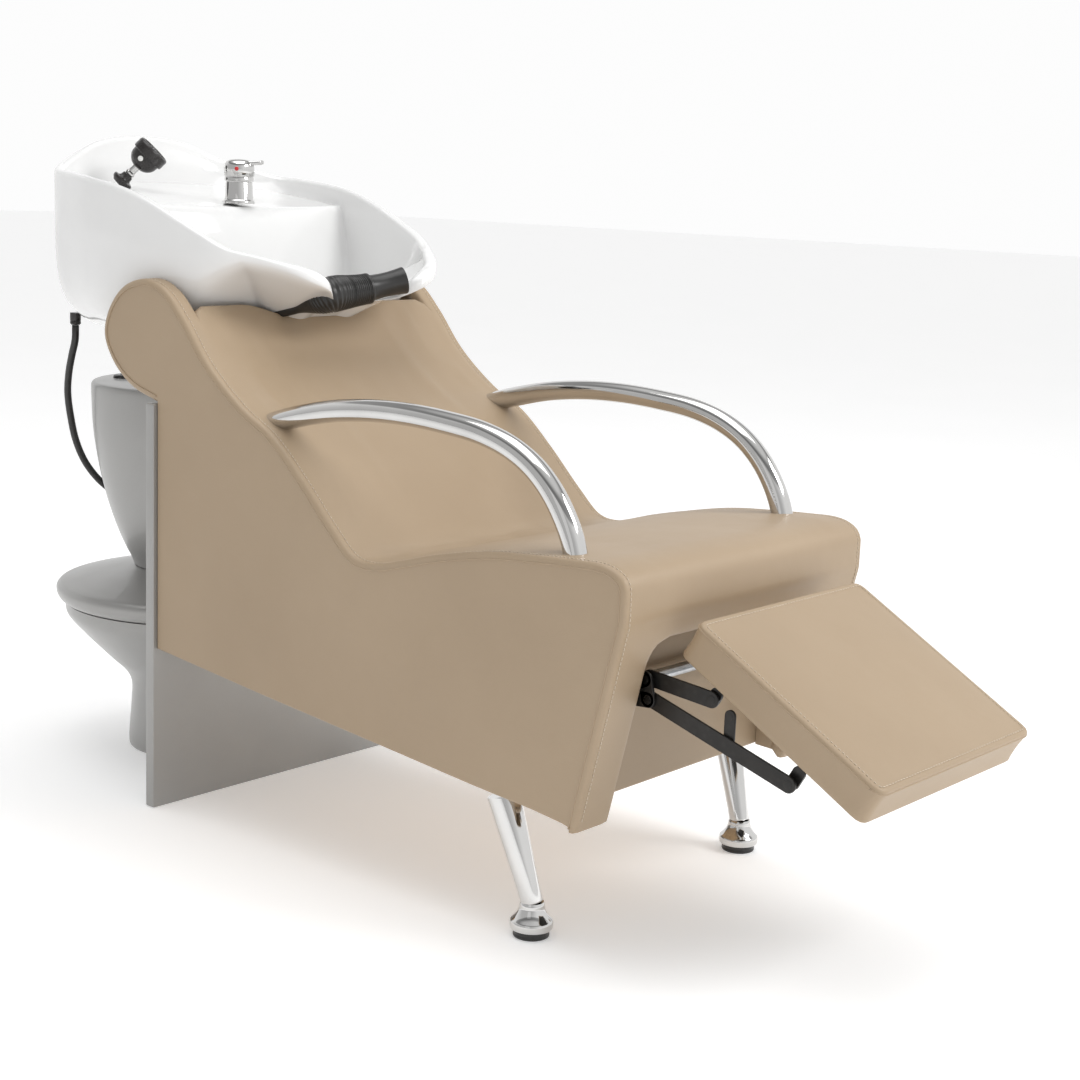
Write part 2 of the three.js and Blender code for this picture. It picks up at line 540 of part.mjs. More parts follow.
function addLegRest() {
  const slope = rad(PAD.slope);
  const rearward = new THREE.Vector3(0, cos(slope), sin(slope));
  const up = new THREE.Vector3(0, -sin(slope), cos(slope));
  const onPad = new THREE.Matrix4().makeBasis(new THREE.Vector3(1, 0, 0), rearward, up);
  onPad.setPosition(0, PAD.rearY, PAD.rearZ);
  const middle = PAD.length / 2;
  const pad = roundedPlate(PAD.half, middle, 20, -PAD.thick, 0).translate(0, -middle, 0);
  place('legrest_pad', pad.applyMatrix4(onPad), leather);

  const under = -PAD.thick - GAP;
  const plate = roundedPlate(LAYER.lug + BAR.thick, middle - 18, 10, under - 3, under).translate(0, -middle,
      0);
  // A lug runs from a bar's pin up into the plate.
  const lugRadius = 9;
  const lug = (side, [y, z]) => {
    const depth = (PAD.rearY - y) * up.y + (PAD.rearZ - z) * up.z;
    const rise = depth + under - 1.5 - lugRadius;
    return link(side, LAYER.lug, [y, z], [y + up.y * rise, z + up.z * rise], lugRadius);
  };
  const lugs = [-1, 1].flatMap((side) => [lug(side, LOWER_END), lug(side, UPPER_END)]);
  place('legrest_frame', join(plate.applyMatrix4(onPad), ...lugs), blackSteel);

  for (const [side, end] of [[-1, 'left'], [1, 'right']]) {
    const fixed = link(side, LAYER.bracket, CRANK_PIVOT, [CRANK_PIVOT[0] - 2, CRANK_PIVOT[1] + 62], 15, 4.2);
    place(`legrest_bracket_${end}`, fixed, blackSteel);
    const crank = join(link(side, LAYER.crank, CRANK_PIVOT, CRANK_LOW),
        link(side, LAYER.crank, CRANK_LOW, CRANK_HIGH),
      link(side, LAYER.crank, CRANK_PIVOT, CRANK_HIGH));
    place(`legrest_crank_${end}`, crank, blackSteel);
    place(`lower_bar_${end}`, link(side, LAYER.lower, CRANK_LOW, LOWER_END), blackSteel);
    place(`upper_bar_${end}`, link(side, LAYER.upper, CRANK_HIGH, UPPER_END), blackSteel);
    const brace = link(side, LAYER.upper, [-541, 314], [-541, 352], 8);
    place(`legrest_brace_${end}`, brace, blackSteel);
  }
  place('crank_shaft', rod(8, -LAYER.crank + GAP, LAYER.crank - GAP, ...CRANK_PIVOT), steel);
}

addLounge();
addRearBoard();
addArmrests();
addLegs();
addPedestal();
addBasin();
addMixer();
addSpray();
addTiltMount();
addHose();
addLegRest();

export default unit;
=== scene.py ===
import json
import math
from math import cos, pi, sin

import bpy
import bmesh
from mathutils import Matrix, Vector, noise


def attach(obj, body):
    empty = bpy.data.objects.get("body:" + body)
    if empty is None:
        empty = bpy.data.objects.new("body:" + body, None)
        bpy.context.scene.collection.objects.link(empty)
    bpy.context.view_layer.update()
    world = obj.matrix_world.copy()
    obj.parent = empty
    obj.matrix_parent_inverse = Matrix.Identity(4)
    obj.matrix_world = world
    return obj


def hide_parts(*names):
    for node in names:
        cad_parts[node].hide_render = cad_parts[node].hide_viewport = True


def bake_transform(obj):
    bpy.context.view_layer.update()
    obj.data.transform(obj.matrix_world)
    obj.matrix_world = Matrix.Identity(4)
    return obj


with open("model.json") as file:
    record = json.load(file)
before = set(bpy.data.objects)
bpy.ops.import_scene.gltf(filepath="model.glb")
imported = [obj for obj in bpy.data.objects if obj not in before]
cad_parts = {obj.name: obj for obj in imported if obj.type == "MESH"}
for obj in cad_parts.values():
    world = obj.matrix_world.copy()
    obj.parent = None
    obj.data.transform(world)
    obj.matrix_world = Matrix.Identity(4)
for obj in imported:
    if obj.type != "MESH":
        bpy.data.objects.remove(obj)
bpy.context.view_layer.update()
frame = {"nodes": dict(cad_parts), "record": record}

nodes = frame["nodes"]

MM = 0.001
SHIFT_Y = 96          # the design frame's Y is this far ahead of the part's own
UPWARDS = (0, 0, 1)


def P(x, y, z):
    """A point of the design frame, in millimetres, as a point of the part's frame in metres."""
    return Vector((x * MM, (y - SHIFT_Y) * MM, z * MM))


# ---------- camera ----------
CAMERA_AT = (-2.11722, -1.94098, 1.00515)
CAMERA_AZIMUTH, CAMERA_ELEVATION, CAMERA_ROLL = -49.87, 10.71, 2.21
CAMERA_LENS, SENSOR_WIDTH = 63.79, 36


def add_camera():
    azimuth, elevation = math.radians(CAMERA_AZIMUTH), math.radians(CAMERA_ELEVATION)
    roll = math.radians(CAMERA_ROLL)
    back = Vector((sin(azimuth) * cos(elevation), -cos(azimuth) * cos(elevation), sin(elevation)))
    right = (-back).cross(Vector((0, 0, 1))).normalized()
    up = right.cross(-back)
    tilted_right = right * cos(roll) + up * sin(roll)
    tilted_up = up * cos(roll) - right * sin(roll)
    data = bpy.data.cameras.new("camera")
    data.sensor_width = SENSOR_WIDTH
    data.lens = CAMERA_LENS
    data.clip_end = 60
    camera = bpy.data.objects.new("camera", data)
    bpy.context.scene.collection.objects.link(camera)
    turn = Matrix((tilted_right, tilted_up, back)).transposed().to_4x4()
    camera.matrix_world = Matrix.Translation(CAMERA_AT) @ turn
    bpy.context.scene.camera = camera


add_camera()


# ---------- lines ----------
def catmull(points, per=8, closed=False):
    """A centripetal Catmull-Rom line through the points."""
    pts = [Vector(p) for p in points]
    n = len(pts)
    out = []
    for i in range(n if closed else n - 1):
        p1, p2 = pts[i], pts[(i + 1) % n]
        p0 = pts[(i - 1) % n] if closed or i > 0 else p1 * 2 - p2
        p3 = pts[(i + 2) % n] if closed or i + 2 < n else p2 * 2 - p1
        t0 = 0.0
        t1 = t0 + max((p1 - p0).length ** 0.5, 1e-6)
        t2 = t1 + max((p2 - p1).length ** 0.5, 1e-6)
        t3 = t2 + max((p3 - p2).length ** 0.5, 1e-6)
        for k in range(per):
            t = t1 + (t2 - t1) * k / per
            a1 = p0 * ((t1 - t) / (t1 - t0)) + p1 * ((t - t0) / (t1 - t0))
            a2 = p1 * ((t2 - t) / (t2 - t1)) + p2 * ((t - t1) / (t2 - t1))
            a3 = p2 * ((t3 - t) / (t3 - t2)) + p3 * ((t - t2) / (t3 - t2))
            b1 = a1 * ((t2 - t) / (t2 - t0)) + a2 * ((t - t0) / (t2 - t0))
            b2 = a2 * ((t3 - t) / (t3 - t1)) + a3 * ((t - t1) / (t3 - t1))
            out.append(b1 * ((t2 - t) / (t2 - t1)) + b2 * ((t - t1) / (t2 - t1)))
    if not closed:
        out.append(pts[-1].copy())
    return out


def evenly(points, step, closed=False):
    """The same line with its points spread at an even step."""
    pts = points + [points[0]] if closed else points
    lengths = [0.0]
    for a, b in zip(pts, pts[1:]):
        lengths.append(lengths[-1] + (b - a).length)
    count = max(round(lengths[-1] / step), 3)
    out, k = [], 0
    for i in range(count if closed else count + 1):
        s = lengths[-1] * i / count
        while k < len(pts) - 2 and lengths[k + 1] < s:
            k += 1
        f = (s - lengths[k]) / max(lengths[k + 1] - lengths[k], 1e-9)
        out.append(pts[k].lerp(pts[k + 1], min(max(f, 0), 1)))
    return out


def line_length(points):
    return sum((b - a).length for a, b in zip(points, points[1:]))


def step_up(low, high, value):
    """A smooth step from 0 at low to 1 at high; low may be the larger of the two."""
    t = min(max((value - low) / (high - low), 0), 1)
    return t * t * (3 - 2 * t)


# ---------- mesh helpers ----------
def piece(name, shape, look, body, hides=(), sharp=None):
    """A named smooth mesh riding on a body; edges over the angle sharp, in degrees, stay sharp."""
    mesh = bpy.data.meshes.new(name)
    mesh.from_pydata([tuple(v) for v in shape.verts], [], shape.faces)
    b = bmesh.new()
    b.from_mesh(mesh)
    bmesh.ops.recalc_face_normals(b, faces=b.faces)
    b.to_mesh(mesh)
    b.free()
    mesh.polygons.foreach_set("use_smooth", [True] * len(mesh.polygons))
    mesh.materials.append(look)
    obj = bpy.data.objects.new(name, mesh)
    bpy.context.scene.collection.objects.link(obj)
    if body:
        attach(obj, body)
    if hides:
        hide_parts(*hides)
    if sharp:
        keep_sharp(mesh, math.radians(sharp))
    return obj


def keep_sharp(mesh, angle):
    b = bmesh.new()
    b.from_mesh(mesh)
    for edge in b.edges:
        if len(edge.link_faces) == 2 and edge.calc_face_angle(0) > angle:
            edge.smooth = False
    b.to_mesh(mesh)
    b.free()


class Shape:
    """Collects closed rings and surfaces into one mesh."""

    def __init__(self, verts=(), faces=()):
        self.verts, self.faces = list(verts), list(faces)

    def rings(self, rings, loop=False):
        """Joins rings of points in turn: the ends are capped, or the last ring meets the first."""
        count = len(rings[0])
        first = len(self.verts)
        for ring in rings:
            self.verts += [Vector(p) for p in ring]
        pairs = len(rings) if loop else len(rings) - 1
        for r in range(pairs):
            a, b = first + r * count, first + (r + 1) % len(rings) * count
            for i in range(count):
                j = (i + 1) % count
                self.faces.append((a + i, a + j, b + j, b + i))
        if not loop:
            self.faces.append(tuple(range(first, first + count))[::-1])
            last = first + (len(rings) - 1) * count
            self.faces.append(tuple(range(last, last + count)))
        return self

    def lathe(self, profile, base, direction=UPWARDS, segments=64, squash=1.0):
        """A closed turned form from (radius, height) points in mm, about a line from a design-frame point."""
        turn = Vector((0, 0, 1)).rotation_difference(Vector(direction).normalized())
        rings = []
        for r, h in profile:
            radius = max(r, 0.02)
            ring = []
            for i in range(segments):
                a = 2 * pi * i / segments
                local = turn @ Vector((radius * cos(a), radius * sin(a) * squash, h))
                ring.append(P(base[0] + local.x, base[1] + local.y, base[2] + local.z))
            rings.append(ring)
        return self.rings(rings)

    def tube(self, path, radius, sides=16):
        """A tube along points in metres; radius is in metres, or a function of the way along."""
        total = max(line_length(path), 1e-9)
        along, rings = 0.0, []
        tangent = (path[1] - path[0]).normalized()
        side = tangent.orthogonal().normalized()
        for i, point in enumerate(path):
            ahead = path[min(i + 1, len(path) - 1)] - path[max(i - 1, 0)]
            new = ahead.normalized()
            side = tangent.rotation_difference(new) @ side
            tangent = new
            if i:
                along += (point - path[i - 1]).length
            r = radius(along / total) if callable(radius) else radius
            across = tangent.cross(side)
            rings.append([point + (side * cos(2 * pi * k / sides) + across * sin(2 * pi * k / sides)) * r
                          for k in range(sides)])
        return self.rings(rings)

    def slab(self, outline, low, high, radius, place, steps=4):
        """A plate with rounded edges. outline is a closed list of (u, v) in mm; place maps (u, v, w)."""
        if sum(a[0] * b[1] - b[0] * a[1] for a, b in zip(outline, outline[1:] + outline[:1])) < 0:
            outline = outline[::-1]
        marks = [(radius * 1.12, low), (radius, low)]
        marks += [(radius * (1 - sin(pi / 2 * k / steps)), low + radius * (1 - cos(pi / 2 * k / steps)))
                  for k in range(1, steps + 1)]
        marks += [(inset, high - (w - low)) for inset, w in reversed(marks)]
        return self.rings([[place(u, v, w) for u, v in inset_line(outline, inset)] for inset, w in marks])


def inset_line(outline, distance):
    """A closed counter-clockwise outline moved inwards."""
    out, n = [], len(outline)
    for i in range(n):
        a, b, c = outline[i - 1], outline[i], outline[(i + 1) % n]
        d1 = Vector((b[0] - a[0], b[1] - a[1])).normalized()
        d2 = Vector((c[0] - b[0], c[1] - b[1])).normalized()
        n1, n2 = Vector((-d1.y, d1.x)), Vector((-d2.y, d2.x))
        mitre = n1 + n2
        if mitre.length < 1e-6:
            mitre = n1
        scale = distance / max(mitre.length_squared / 2, 0.35)
        out.append((b[0] + mitre.x * scale, b[1] + mitre.y * scale))
    return out


def rounded_outline(points, radii, steps=6):
    """A closed outline with each corner rounded by its own radius."""
    out, n = [], len(points)
    for i in range(n):
        b = Vector(points[i])
        to_a, to_c = Vector(points[i - 1]) - b, Vector(points[(i + 1) % n]) - b
        r = radii[i] if isinstance(radii, (list, tuple)) else radii
        if r <= 0:
            out.append(tuple(b))
            continue
        half = to_a.angle(to_c) / 2
        reach = min(r / math.tan(half), 0.49 * to_a.length, 0.49 * to_c.length)
        start, end = b + to_a.normalized() * reach, b + to_c.normalized() * reach
        for k in range(steps + 1):
            t = k / steps
            out.append(tuple(start * (1 - t) ** 2 + b * (2 * t * (1 - t)) + end * t ** 2))
    return out


def stitches(shape, path, lift):
    """Short threads along a line of (point, outward normal)."""
    length, radius = STITCH_LENGTH, STITCH_RADIUS
    along, nxt = 0.0, STITCH_PITCH
    for (p0, n0), (p1, n1) in zip(path, path[1:]):
        d = (p1 - p0).length
        while d > 0 and along + d >= nxt:
            t = (nxt - along) / d
            at, out = p0.lerp(p1, t), n0.lerp(n1, t).normalized()
            way = (p1 - p0).normalized()
            ends = [at - way * length / 2 + out * -radius, at - way * length * 0.3 + out * lift,
                    at + way * length * 0.3 + out * lift, at + way * length / 2 + out * -radius]
            shape.tube(ends, radius, 5)
            nxt += STITCH_PITCH
        along += d


# ---------- materials ----------
def material(name, low, high, roughness, metallic=0.0, tone_scale=6.0, bumps=(), spread=0.06, coat=0.0,
             specks=None):
    """A surface whose colour drifts between two tones, with its own gloss variation and layered bumps.
    bumps are (texture, scale, distance in mm); specks is (scale, colour, amount)."""
    m = bpy.data.materials.new(name)
    m.use_nodes = True
    tree = m.node_tree
    make, wire = tree.nodes.new, tree.links.new
    shader = tree.nodes["Principled BSDF"]
    where = make("ShaderNodeTexCoord").outputs["Object"]

    def noise_node(scale, detail=4.0):
        n = make("ShaderNodeTexNoise")
        n.inputs["Scale"].default_value = scale
        n.inputs["Detail"].default_value = detail
        wire(where, n.inputs["Vector"])
        return n.outputs["Fac"]

    ramp = make("ShaderNodeValToRGB")
    ramp.color_ramp.elements[0].position = 0.3
    ramp.color_ramp.elements[1].position = 0.7
    ramp.color_ramp.elements[0].color = (*low, 1)
    ramp.color_ramp.elements[1].color = (*high, 1)
    wire(noise_node(tone_scale), ramp.inputs["Fac"])
    colour = ramp.outputs["Color"]
    if specks:
        scale, tint, amount = specks
        cells = make("ShaderNodeTexVoronoi")
        cells.inputs["Scale"].default_value = scale
        wire(where, cells.inputs["Vector"])
        near = make("ShaderNodeMapRange")
        near.inputs["From Min"].default_value = 0.1
        near.inputs["From Max"].default_value = 0.45
        near.inputs["To Min"].default_value = amount
        near.inputs["To Max"].default_value = 0
        wire(cells.outputs["Distance"], near.inputs["Value"])
        mix = make("ShaderNodeMix")
        mix.data_type = "RGBA"
        wire(near.outputs["Result"], mix.inputs["Factor"])
        wire(colour, mix.inputs["A"])
        mix.inputs["B"].default_value = (*tint, 1)
        colour = mix.outputs["Result"]
    wire(colour, shader.inputs["Base Color"])
    gloss = make("ShaderNodeMapRange")
    gloss.inputs["To Min"].default_value = max(roughness - spread, 0.01)
    gloss.inputs["To Max"].default_value = min(roughness + spread, 1)
    wire(noise_node(tone_scale * 5, 6), gloss.inputs["Value"])
    wire(gloss.outputs["Result"], shader.inputs["Roughness"])
    shader.inputs["Metallic"].default_value = metallic
    shader.inputs["Coat Weight"].default_value = coat
    shader.inputs["Coat Roughness"].default_value = 0.05
    normal = None
    for kind, scale, distance in bumps:
        if kind == "cells":
            cells = make("ShaderNodeTexVoronoi")
            cells.inputs["Scale"].default_value = scale
            wire(where, cells.inputs["Vector"])
            height = cells.outputs["Distance"]
        else:
            height = noise_node(scale, 3)
        bump = make("ShaderNodeBump")
        bump.inputs["Strength"].default_value = 1
        bump.inputs["Distance"].default_value = distance * MM
        wire(height, bump.inputs["Height"])
        if normal:
            wire(normal, bump.inputs["Normal"])
        normal = bump.outputs["Normal"]
    if normal:
        wire(normal, shader.inputs["Normal"])
    return m


LEATHER = material("tan_leather", (0.372, 0.276, 0.180), (0.412, 0.309, 0.205), 0.47, tone_scale=3,
                   spread=0.05, bumps=[("noise", 7, 2.5), ("cells", 620, 0.10), ("noise", 1500, 0.06)],
                   specks=(640, (0.33, 0.26, 0.185), 0.22))
THREAD = material("thread", (0.56, 0.47, 0.36), (0.66, 0.57, 0.45), 0.7, tone_scale=60,
                  bumps=[("noise", 2500, 0.1)])
PLYWOOD = material("plywood", (0.36, 0.24, 0.13), (0.50, 0.35, 0.20), 0.75, tone_scale=18,
                   bumps=[("noise", 160, 0.3)])
SILVER = material("silver_lacquer", (0.325, 0.32, 0.31), (0.37, 0.365, 0.355), 0.36, 0.35, tone_scale=4,
                  bumps=[("noise", 30, 0.12), ("noise", 900, 0.01)], coat=0.25,
                  specks=(2600, (0.55, 0.55, 0.54), 0.35))
CHROME = material("chrome", (0.60, 0.595, 0.585), (0.68, 0.675, 0.665), 0.07, 1.0, tone_scale=9, spread=0.03,
                  bumps=[("noise", 45, 0.02)])
CERAMIC = material("white_ceramic", (0.79, 0.79, 0.785), (0.84, 0.84, 0.835), 0.09, tone_scale=5, spread=0.03,
                   bumps=[("noise", 16, 0.25)], coat=0.5, specks=(500, (0.78, 0.775, 0.76), 0.08))
RUBBER = material("black_rubber", (0.016, 0.0155, 0.015), (0.028, 0.027, 0.026), 0.34, tone_scale=25,
                  bumps=[("noise", 900, 0.05), ("noise", 60, 0.15)])
STEEL_BLACK = material("black_steel", (0.014, 0.013, 0.012), (0.026, 0.024, 0.022), 0.38, 0.35, tone_scale=20,
                       bumps=[("noise", 500, 0.05)], specks=(90, (0.07, 0.065, 0.06), 0.15))
PLASTIC_BLACK = material("black_plastic", (0.017, 0.015, 0.0145), (0.026, 0.023, 0.022), 0.28, tone_scale=30,
                         bumps=[("noise", 1400, 0.02)])
PLASTIC_WHITE = material("white_plastic", (0.72, 0.72, 0.70), (0.80, 0.80, 0.78), 0.4, tone_scale=20,
                         bumps=[("noise", 800, 0.03)])
PLASTIC_RED = material("red_plastic", (0.50, 0.015, 0.02), (0.62, 0.03, 0.035), 0.25, tone_scale=80,
                       bumps=[("noise", 600, 0.02)])
ZINC = material("zinc_steel", (0.40, 0.41, 0.42), (0.52, 0.53, 0.54), 0.33, 1.0, tone_scale=30,
                bumps=[("noise", 300, 0.05)], specks=(150, (0.62, 0.62, 0.6), 0.4))

SLOT_MATERIAL = {"tan_leather": LEATHER, "plywood": PLYWOOD, "silver_board": SILVER, "silver_gelcoat": SILVER,
                 "chrome": CHROME, "white_ceramic": CERAMIC, "black_rubber": RUBBER,
                 "black_steel": STEEL_BLACK, "black_plastic": PLASTIC_BLACK, "white_plastic": PLASTIC_WHITE,
                 "red_plastic": PLASTIC_RED, "zinc_steel": ZINC}
for part in frame["record"]["subparts"]:
    carried = nodes[part["node"]]
    for index in range(len(carried.material_slots)):
        carried.material_slots[index].material = SLOT_MATERIAL[part["material_slot"]]


# ---------- hose ----------
HOSE_ROUTE = [(-185, 812, 735), (-185, 813, 712), (-181, 828, 684), (-173, 848, 652), (-164, 864, 616),
              (-152, 873, 574), (-137, 879, 530), (-118, 880, 492), (-97, 874, 462), (-74, 864, 438)]
HOSE_RADIUS = 6
hose_line = evenly(catmull([P(*p) for p in HOSE_ROUTE], 10), 0.008)
hose = piece("hose_visual", Shape().tube(hose_line, HOSE_RADIUS * MM, 20), RUBBER, None,
             ["water_hose"])
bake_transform(hose)

# ---------- lounge ----------
BODY_HALF = 280
BAY_HALF = 205
BAY_TOP = 429
BAY_FILLET = 42
RECESS_Y = -322
WELL_HALF = 254
SEAT_LINE = [(-379, 535), (-297, 530), (-204, 521), (-104, 500), (-48, 484), (8, 471), (46, 475), (92, 512),
             (155, 572), (220, 626), (286, 660), (361, 716), (412, 774)]
ROLL_LINE = [(412, 774), (459, 817), (506, 832), (563, 818), (600, 780), (611, 740), (588, 698), (543, 665),
             (482, 647)]
BOTTOM_LINE = [(479, 257), (235, 233), (8, 213), (-190, 195), (-297, 187), (-349, 181), (-371, 176)]
BOARD_HALF, BOARD_TOP = 286, 644.4
BOARD_FRONT, BOARD_REAR = 479, 498
SEAM_DEPTH = 9        # how far the top cover comes down over the side faces
EDGE = 7              # rounding of the cover's edges
STITCH_X = 268
STITCH_PITCH, STITCH_LENGTH, STITCH_RADIUS = 6.6 * MM, 4.4 * MM, 0.7 * MM
BAY_FOLD = 15         # how far the cover turns into the bay
BASIN_FOLD = 52       # and down in front of the basin
WELL_FOLD = 14        # and down beside the basin
END_FOLD = 2


def front_y(z):
    return -438 + (465 - z) * (67 / 289)


def bezier(p0, p1, p2, p3, count):
    points = []
    for k in range(count + 1):
        t = k / count
        s = 1 - t
        points.append(Vector(p0) * s ** 3 + Vector(p1) * (3 * s * s * t) + Vector(p2) * (3 * s * t * t)
                      + Vector(p3) * t ** 3)
    return points


front_face = [Vector((front_y(z), z)) for z in (178, 240, 300, 360, 420, 465)]
front_edge = bezier((-438, 500), (-440, 526), (-412, 536), (-379, 535), 12)
seat_line = catmull(SEAT_LINE, 12)
roll_line = catmull(ROLL_LINE, 14)
STATION = 8.0         # spacing of the cover's rows
profile = evenly(front_face + front_edge + seat_line[1:] + roll_line[1:], STATION)
FRONT_END = min(range(60), key=lambda i: abs(profile[i].y - (BAY_TOP + EDGE)))
WELL_START = min(range(len(profile)), key=lambda i: (profile[i] - Vector((408, 770))).length)
VALLEY = min(range(len(profile)), key=lambda i: (profile[i] - Vector((20, 472))).length)


def inward(i):
    along = (profile[min(i + 1, len(profile) - 1)] - profile[max(i - 1, 0)]).normalized()
    return Vector((along.y, -along.x))


def relief(x, i):
    """How far the leather stands out at a place across and along the cover, in mm."""
    edge = BODY_HALF - EDGE
    inside = step_up(edge, edge - 60, abs(x)) if abs(x) < edge else 0
    height = 2.2 * inside
    if i < FRONT_END + 4:
        return 0.0
    height -= 0.9 * math.exp(-((abs(x) - STITCH_X) / 2.6) ** 2)
    s = i * STATION
    back = step_up(VALLEY + 2, VALLEY + 16, i) * step_up(WELL_START + 3, WELL_START - 6, i)
    flow = noise.noise(Vector((x / 34 + s / 420, s / 190, 3.1)))
    sharp = max(flow, 0) ** 1.3
    height += (2.0 + 8.0 * step_up(60, 200, abs(x))) * sharp * back * step_up(edge, edge - 26, abs(x))
    near = math.exp(-((i - VALLEY) / 5.0) ** 2)
    height += near * 4.0 * noise.noise(Vector((x / 55, s / 26, 8.7))) * inside
    height += 1.3 * noise.noise(Vector((x / 110, s / 120, 1.9))) * inside
    return height


def bay_edge(z):
    """Half width of the bay at a height, with its rounded upper corners."""
    if z <= BAY_TOP - BAY_FILLET:
        return BAY_HALF
    rise = min(z - (BAY_TOP - BAY_FILLET), BAY_FILLET)
    return BAY_HALF - BAY_FILLET + (BAY_FILLET ** 2 - rise ** 2) ** 0.5


def cover_columns():
    inner = BAY_HALF - BAY_FILLET + EDGE
    right = list(range(0, int(inner) - 6, 13))
    right += [inner, 182, 194, 206, 218, 230, 242, WELL_HALF, 259, 264, STITCH_X, BODY_HALF - EDGE]
    return [-x for x in reversed(right[1:])] + right


def add_lounge_cover():
    columns = cover_columns()
    inner = BAY_HALF - BAY_FILLET + EDGE
    verts, outward = [], []
    grid = {}
    for i in range(len(profile)):
        down = inward(i)
        for c, x in enumerate(columns):
            across = x
            point = profile[i]
            if WELL_START - 10 <= i <= WELL_START:
                ahead = 3.4 * step_up(60, 150, abs(x)) * step_up(WELL_HALF, 236, abs(x))
                ahead *= (i - WELL_START + 10) / 10
                k = int(ahead)
                point = profile[i + k].lerp(profile[i + k + 1], ahead - k)
            if i < FRONT_END and inner - 1 <= abs(x) <= WELL_HALF:
                edge = bay_edge(point.y - EDGE) + EDGE
                share = (abs(x) - inner) / (WELL_HALF - inner)
                across = math.copysign(edge + (WELL_HALF - edge) * share, x)
            lift = relief(across, i)
            grid[i, c] = len(verts)
            verts.append(P(across, point.x - down.x * lift, point.y - down.y * lift))
            outward.append(Vector((0, -down.x, -down.y)))
    faces = []
    for i in range(len(profile) - 1):
        for c in range(len(columns) - 1):
            middle = abs(columns[c] + columns[c + 1]) / 2
            if (i < FRONT_END and middle < inner) or (i >= WELL_START and middle < WELL_HALF):
                continue
            faces.append((grid[i, c], grid[i, c + 1], grid[i + 1, c + 1], grid[i + 1, c]))
    used = sorted({v for face in faces for v in face})
    renumber = {v: k for k, v in enumerate(used)}
    verts = [verts[v] for v in used]
    outward = [outward[v] for v in used]
    station = [v // len(columns) for v in used]
    faces = [tuple(renumber[v] for v in face) for face in faces]
    edges = {(f[k], f[(k + 1) % 4]) for f in faces for k in range(4)}
    rim = {a: b for a, b in edges if (b, a) not in edges}
    aside = {v: Vector() for v in rim}
    for a, b in rim.items():
        away = (verts[b] - verts[a]).cross(outward[a]).normalized()
        aside[a] += away
        aside[b] += away
    marks = [22, 45, 67, 90]
    rows = {v: [v] for v in rim}
    for v in rim:
        away = aside[v].normalized()
        away *= 1 / max(away.dot(away), 0.5)
        x = verts[v].x * 1000
        if station[v] in (0, len(profile) - 1):
            reach = END_FOLD
        elif abs(x) > WELL_HALF + 4:
            reach = SEAM_DEPTH - EDGE
        elif station[v] <= FRONT_END:
            reach = BAY_FOLD
        elif station[v] == WELL_START:
            reach = BASIN_FOLD
        else:
            reach = WELL_FOLD
        base = verts[v].copy()
        for degrees in marks:
            a = math.radians(degrees)
            verts.append(base + (away * sin(a) - outward[v] * (1 - cos(a))) * EDGE * MM)
            rows[v].append(len(verts) - 1)
        in_bay = station[v] <= FRONT_END and abs(x) <= WELL_HALF + 4
        direction = Vector((0, 1, 0)) if in_bay else -outward[v]
        for share in (0.5, 1):
            verts.append(base + (away * EDGE - outward[v] * EDGE) * MM + direction * reach * share * MM)
            rows[v].append(len(verts) - 1)
    for a, b in rim.items():
        for k in range(len(marks) + 2):
            faces.append((rows[b][k], rows[a][k], rows[a][k + 1], rows[b][k + 1]))
    cover = piece("lounge_cover", Shape(verts, faces), LEATHER, "frame",
                  ["seat_cushion", "back_cushion", "front_apron", "front_column_left", "front_column_right"])
    thick = cover.modifiers.new("thickness", "SOLIDIFY")
    thick.thickness = 1.6 * MM
    thick.offset = -1


add_lounge_cover()


def side_outline():
    top = front_edge + seat_line[1:] + roll_line[1:]
    points = [(p.x, p.y) for p in top]
    points += [(481.6, 641), (481.6, 257)] + BOTTOM_LINE[1:] + [(front_y(300), 300), (front_y(465), 465)]
    return points


def add_side_faces():
    outline = inset_line(side_outline()[::-1], 3.0)
    for side, name in ((-1, "left"), (1, "right")):
        shape = Shape().slab(outline, BODY_HALF - 25, BODY_HALF - 0.7, 3.0,
                             lambda y, z, w: P(side * w, y, z), 3)
        piece(f"side_face_{name}", shape, LEATHER, "frame", [f"side_panel_{name}"])
    welt, thread = Shape(), Shape()
    for side in (-1, 1):
        line = []
        for i in range(len(profile)):
            down = inward(i)
            at = profile[i] + down * (SEAM_DEPTH + 0.4)
            line.append(P(side * (BODY_HALF - 0.2), at.x, at.y))
        welt.tube(line, 1.15 * MM, 8)
        path = []
        for i in range(1, len(profile) - 1):
            down = inward(i)
            at = profile[i] - down * relief(side * STITCH_X, i)
            path.append((P(side * STITCH_X, at.x, at.y), Vector((0, -down.x, -down.y))))
        stitches(thread, path, 0.6 * MM)
    piece("side_seams", welt, LEATHER, "frame")
    piece("cover_stitching", thread, THREAD, "frame")


add_side_faces()


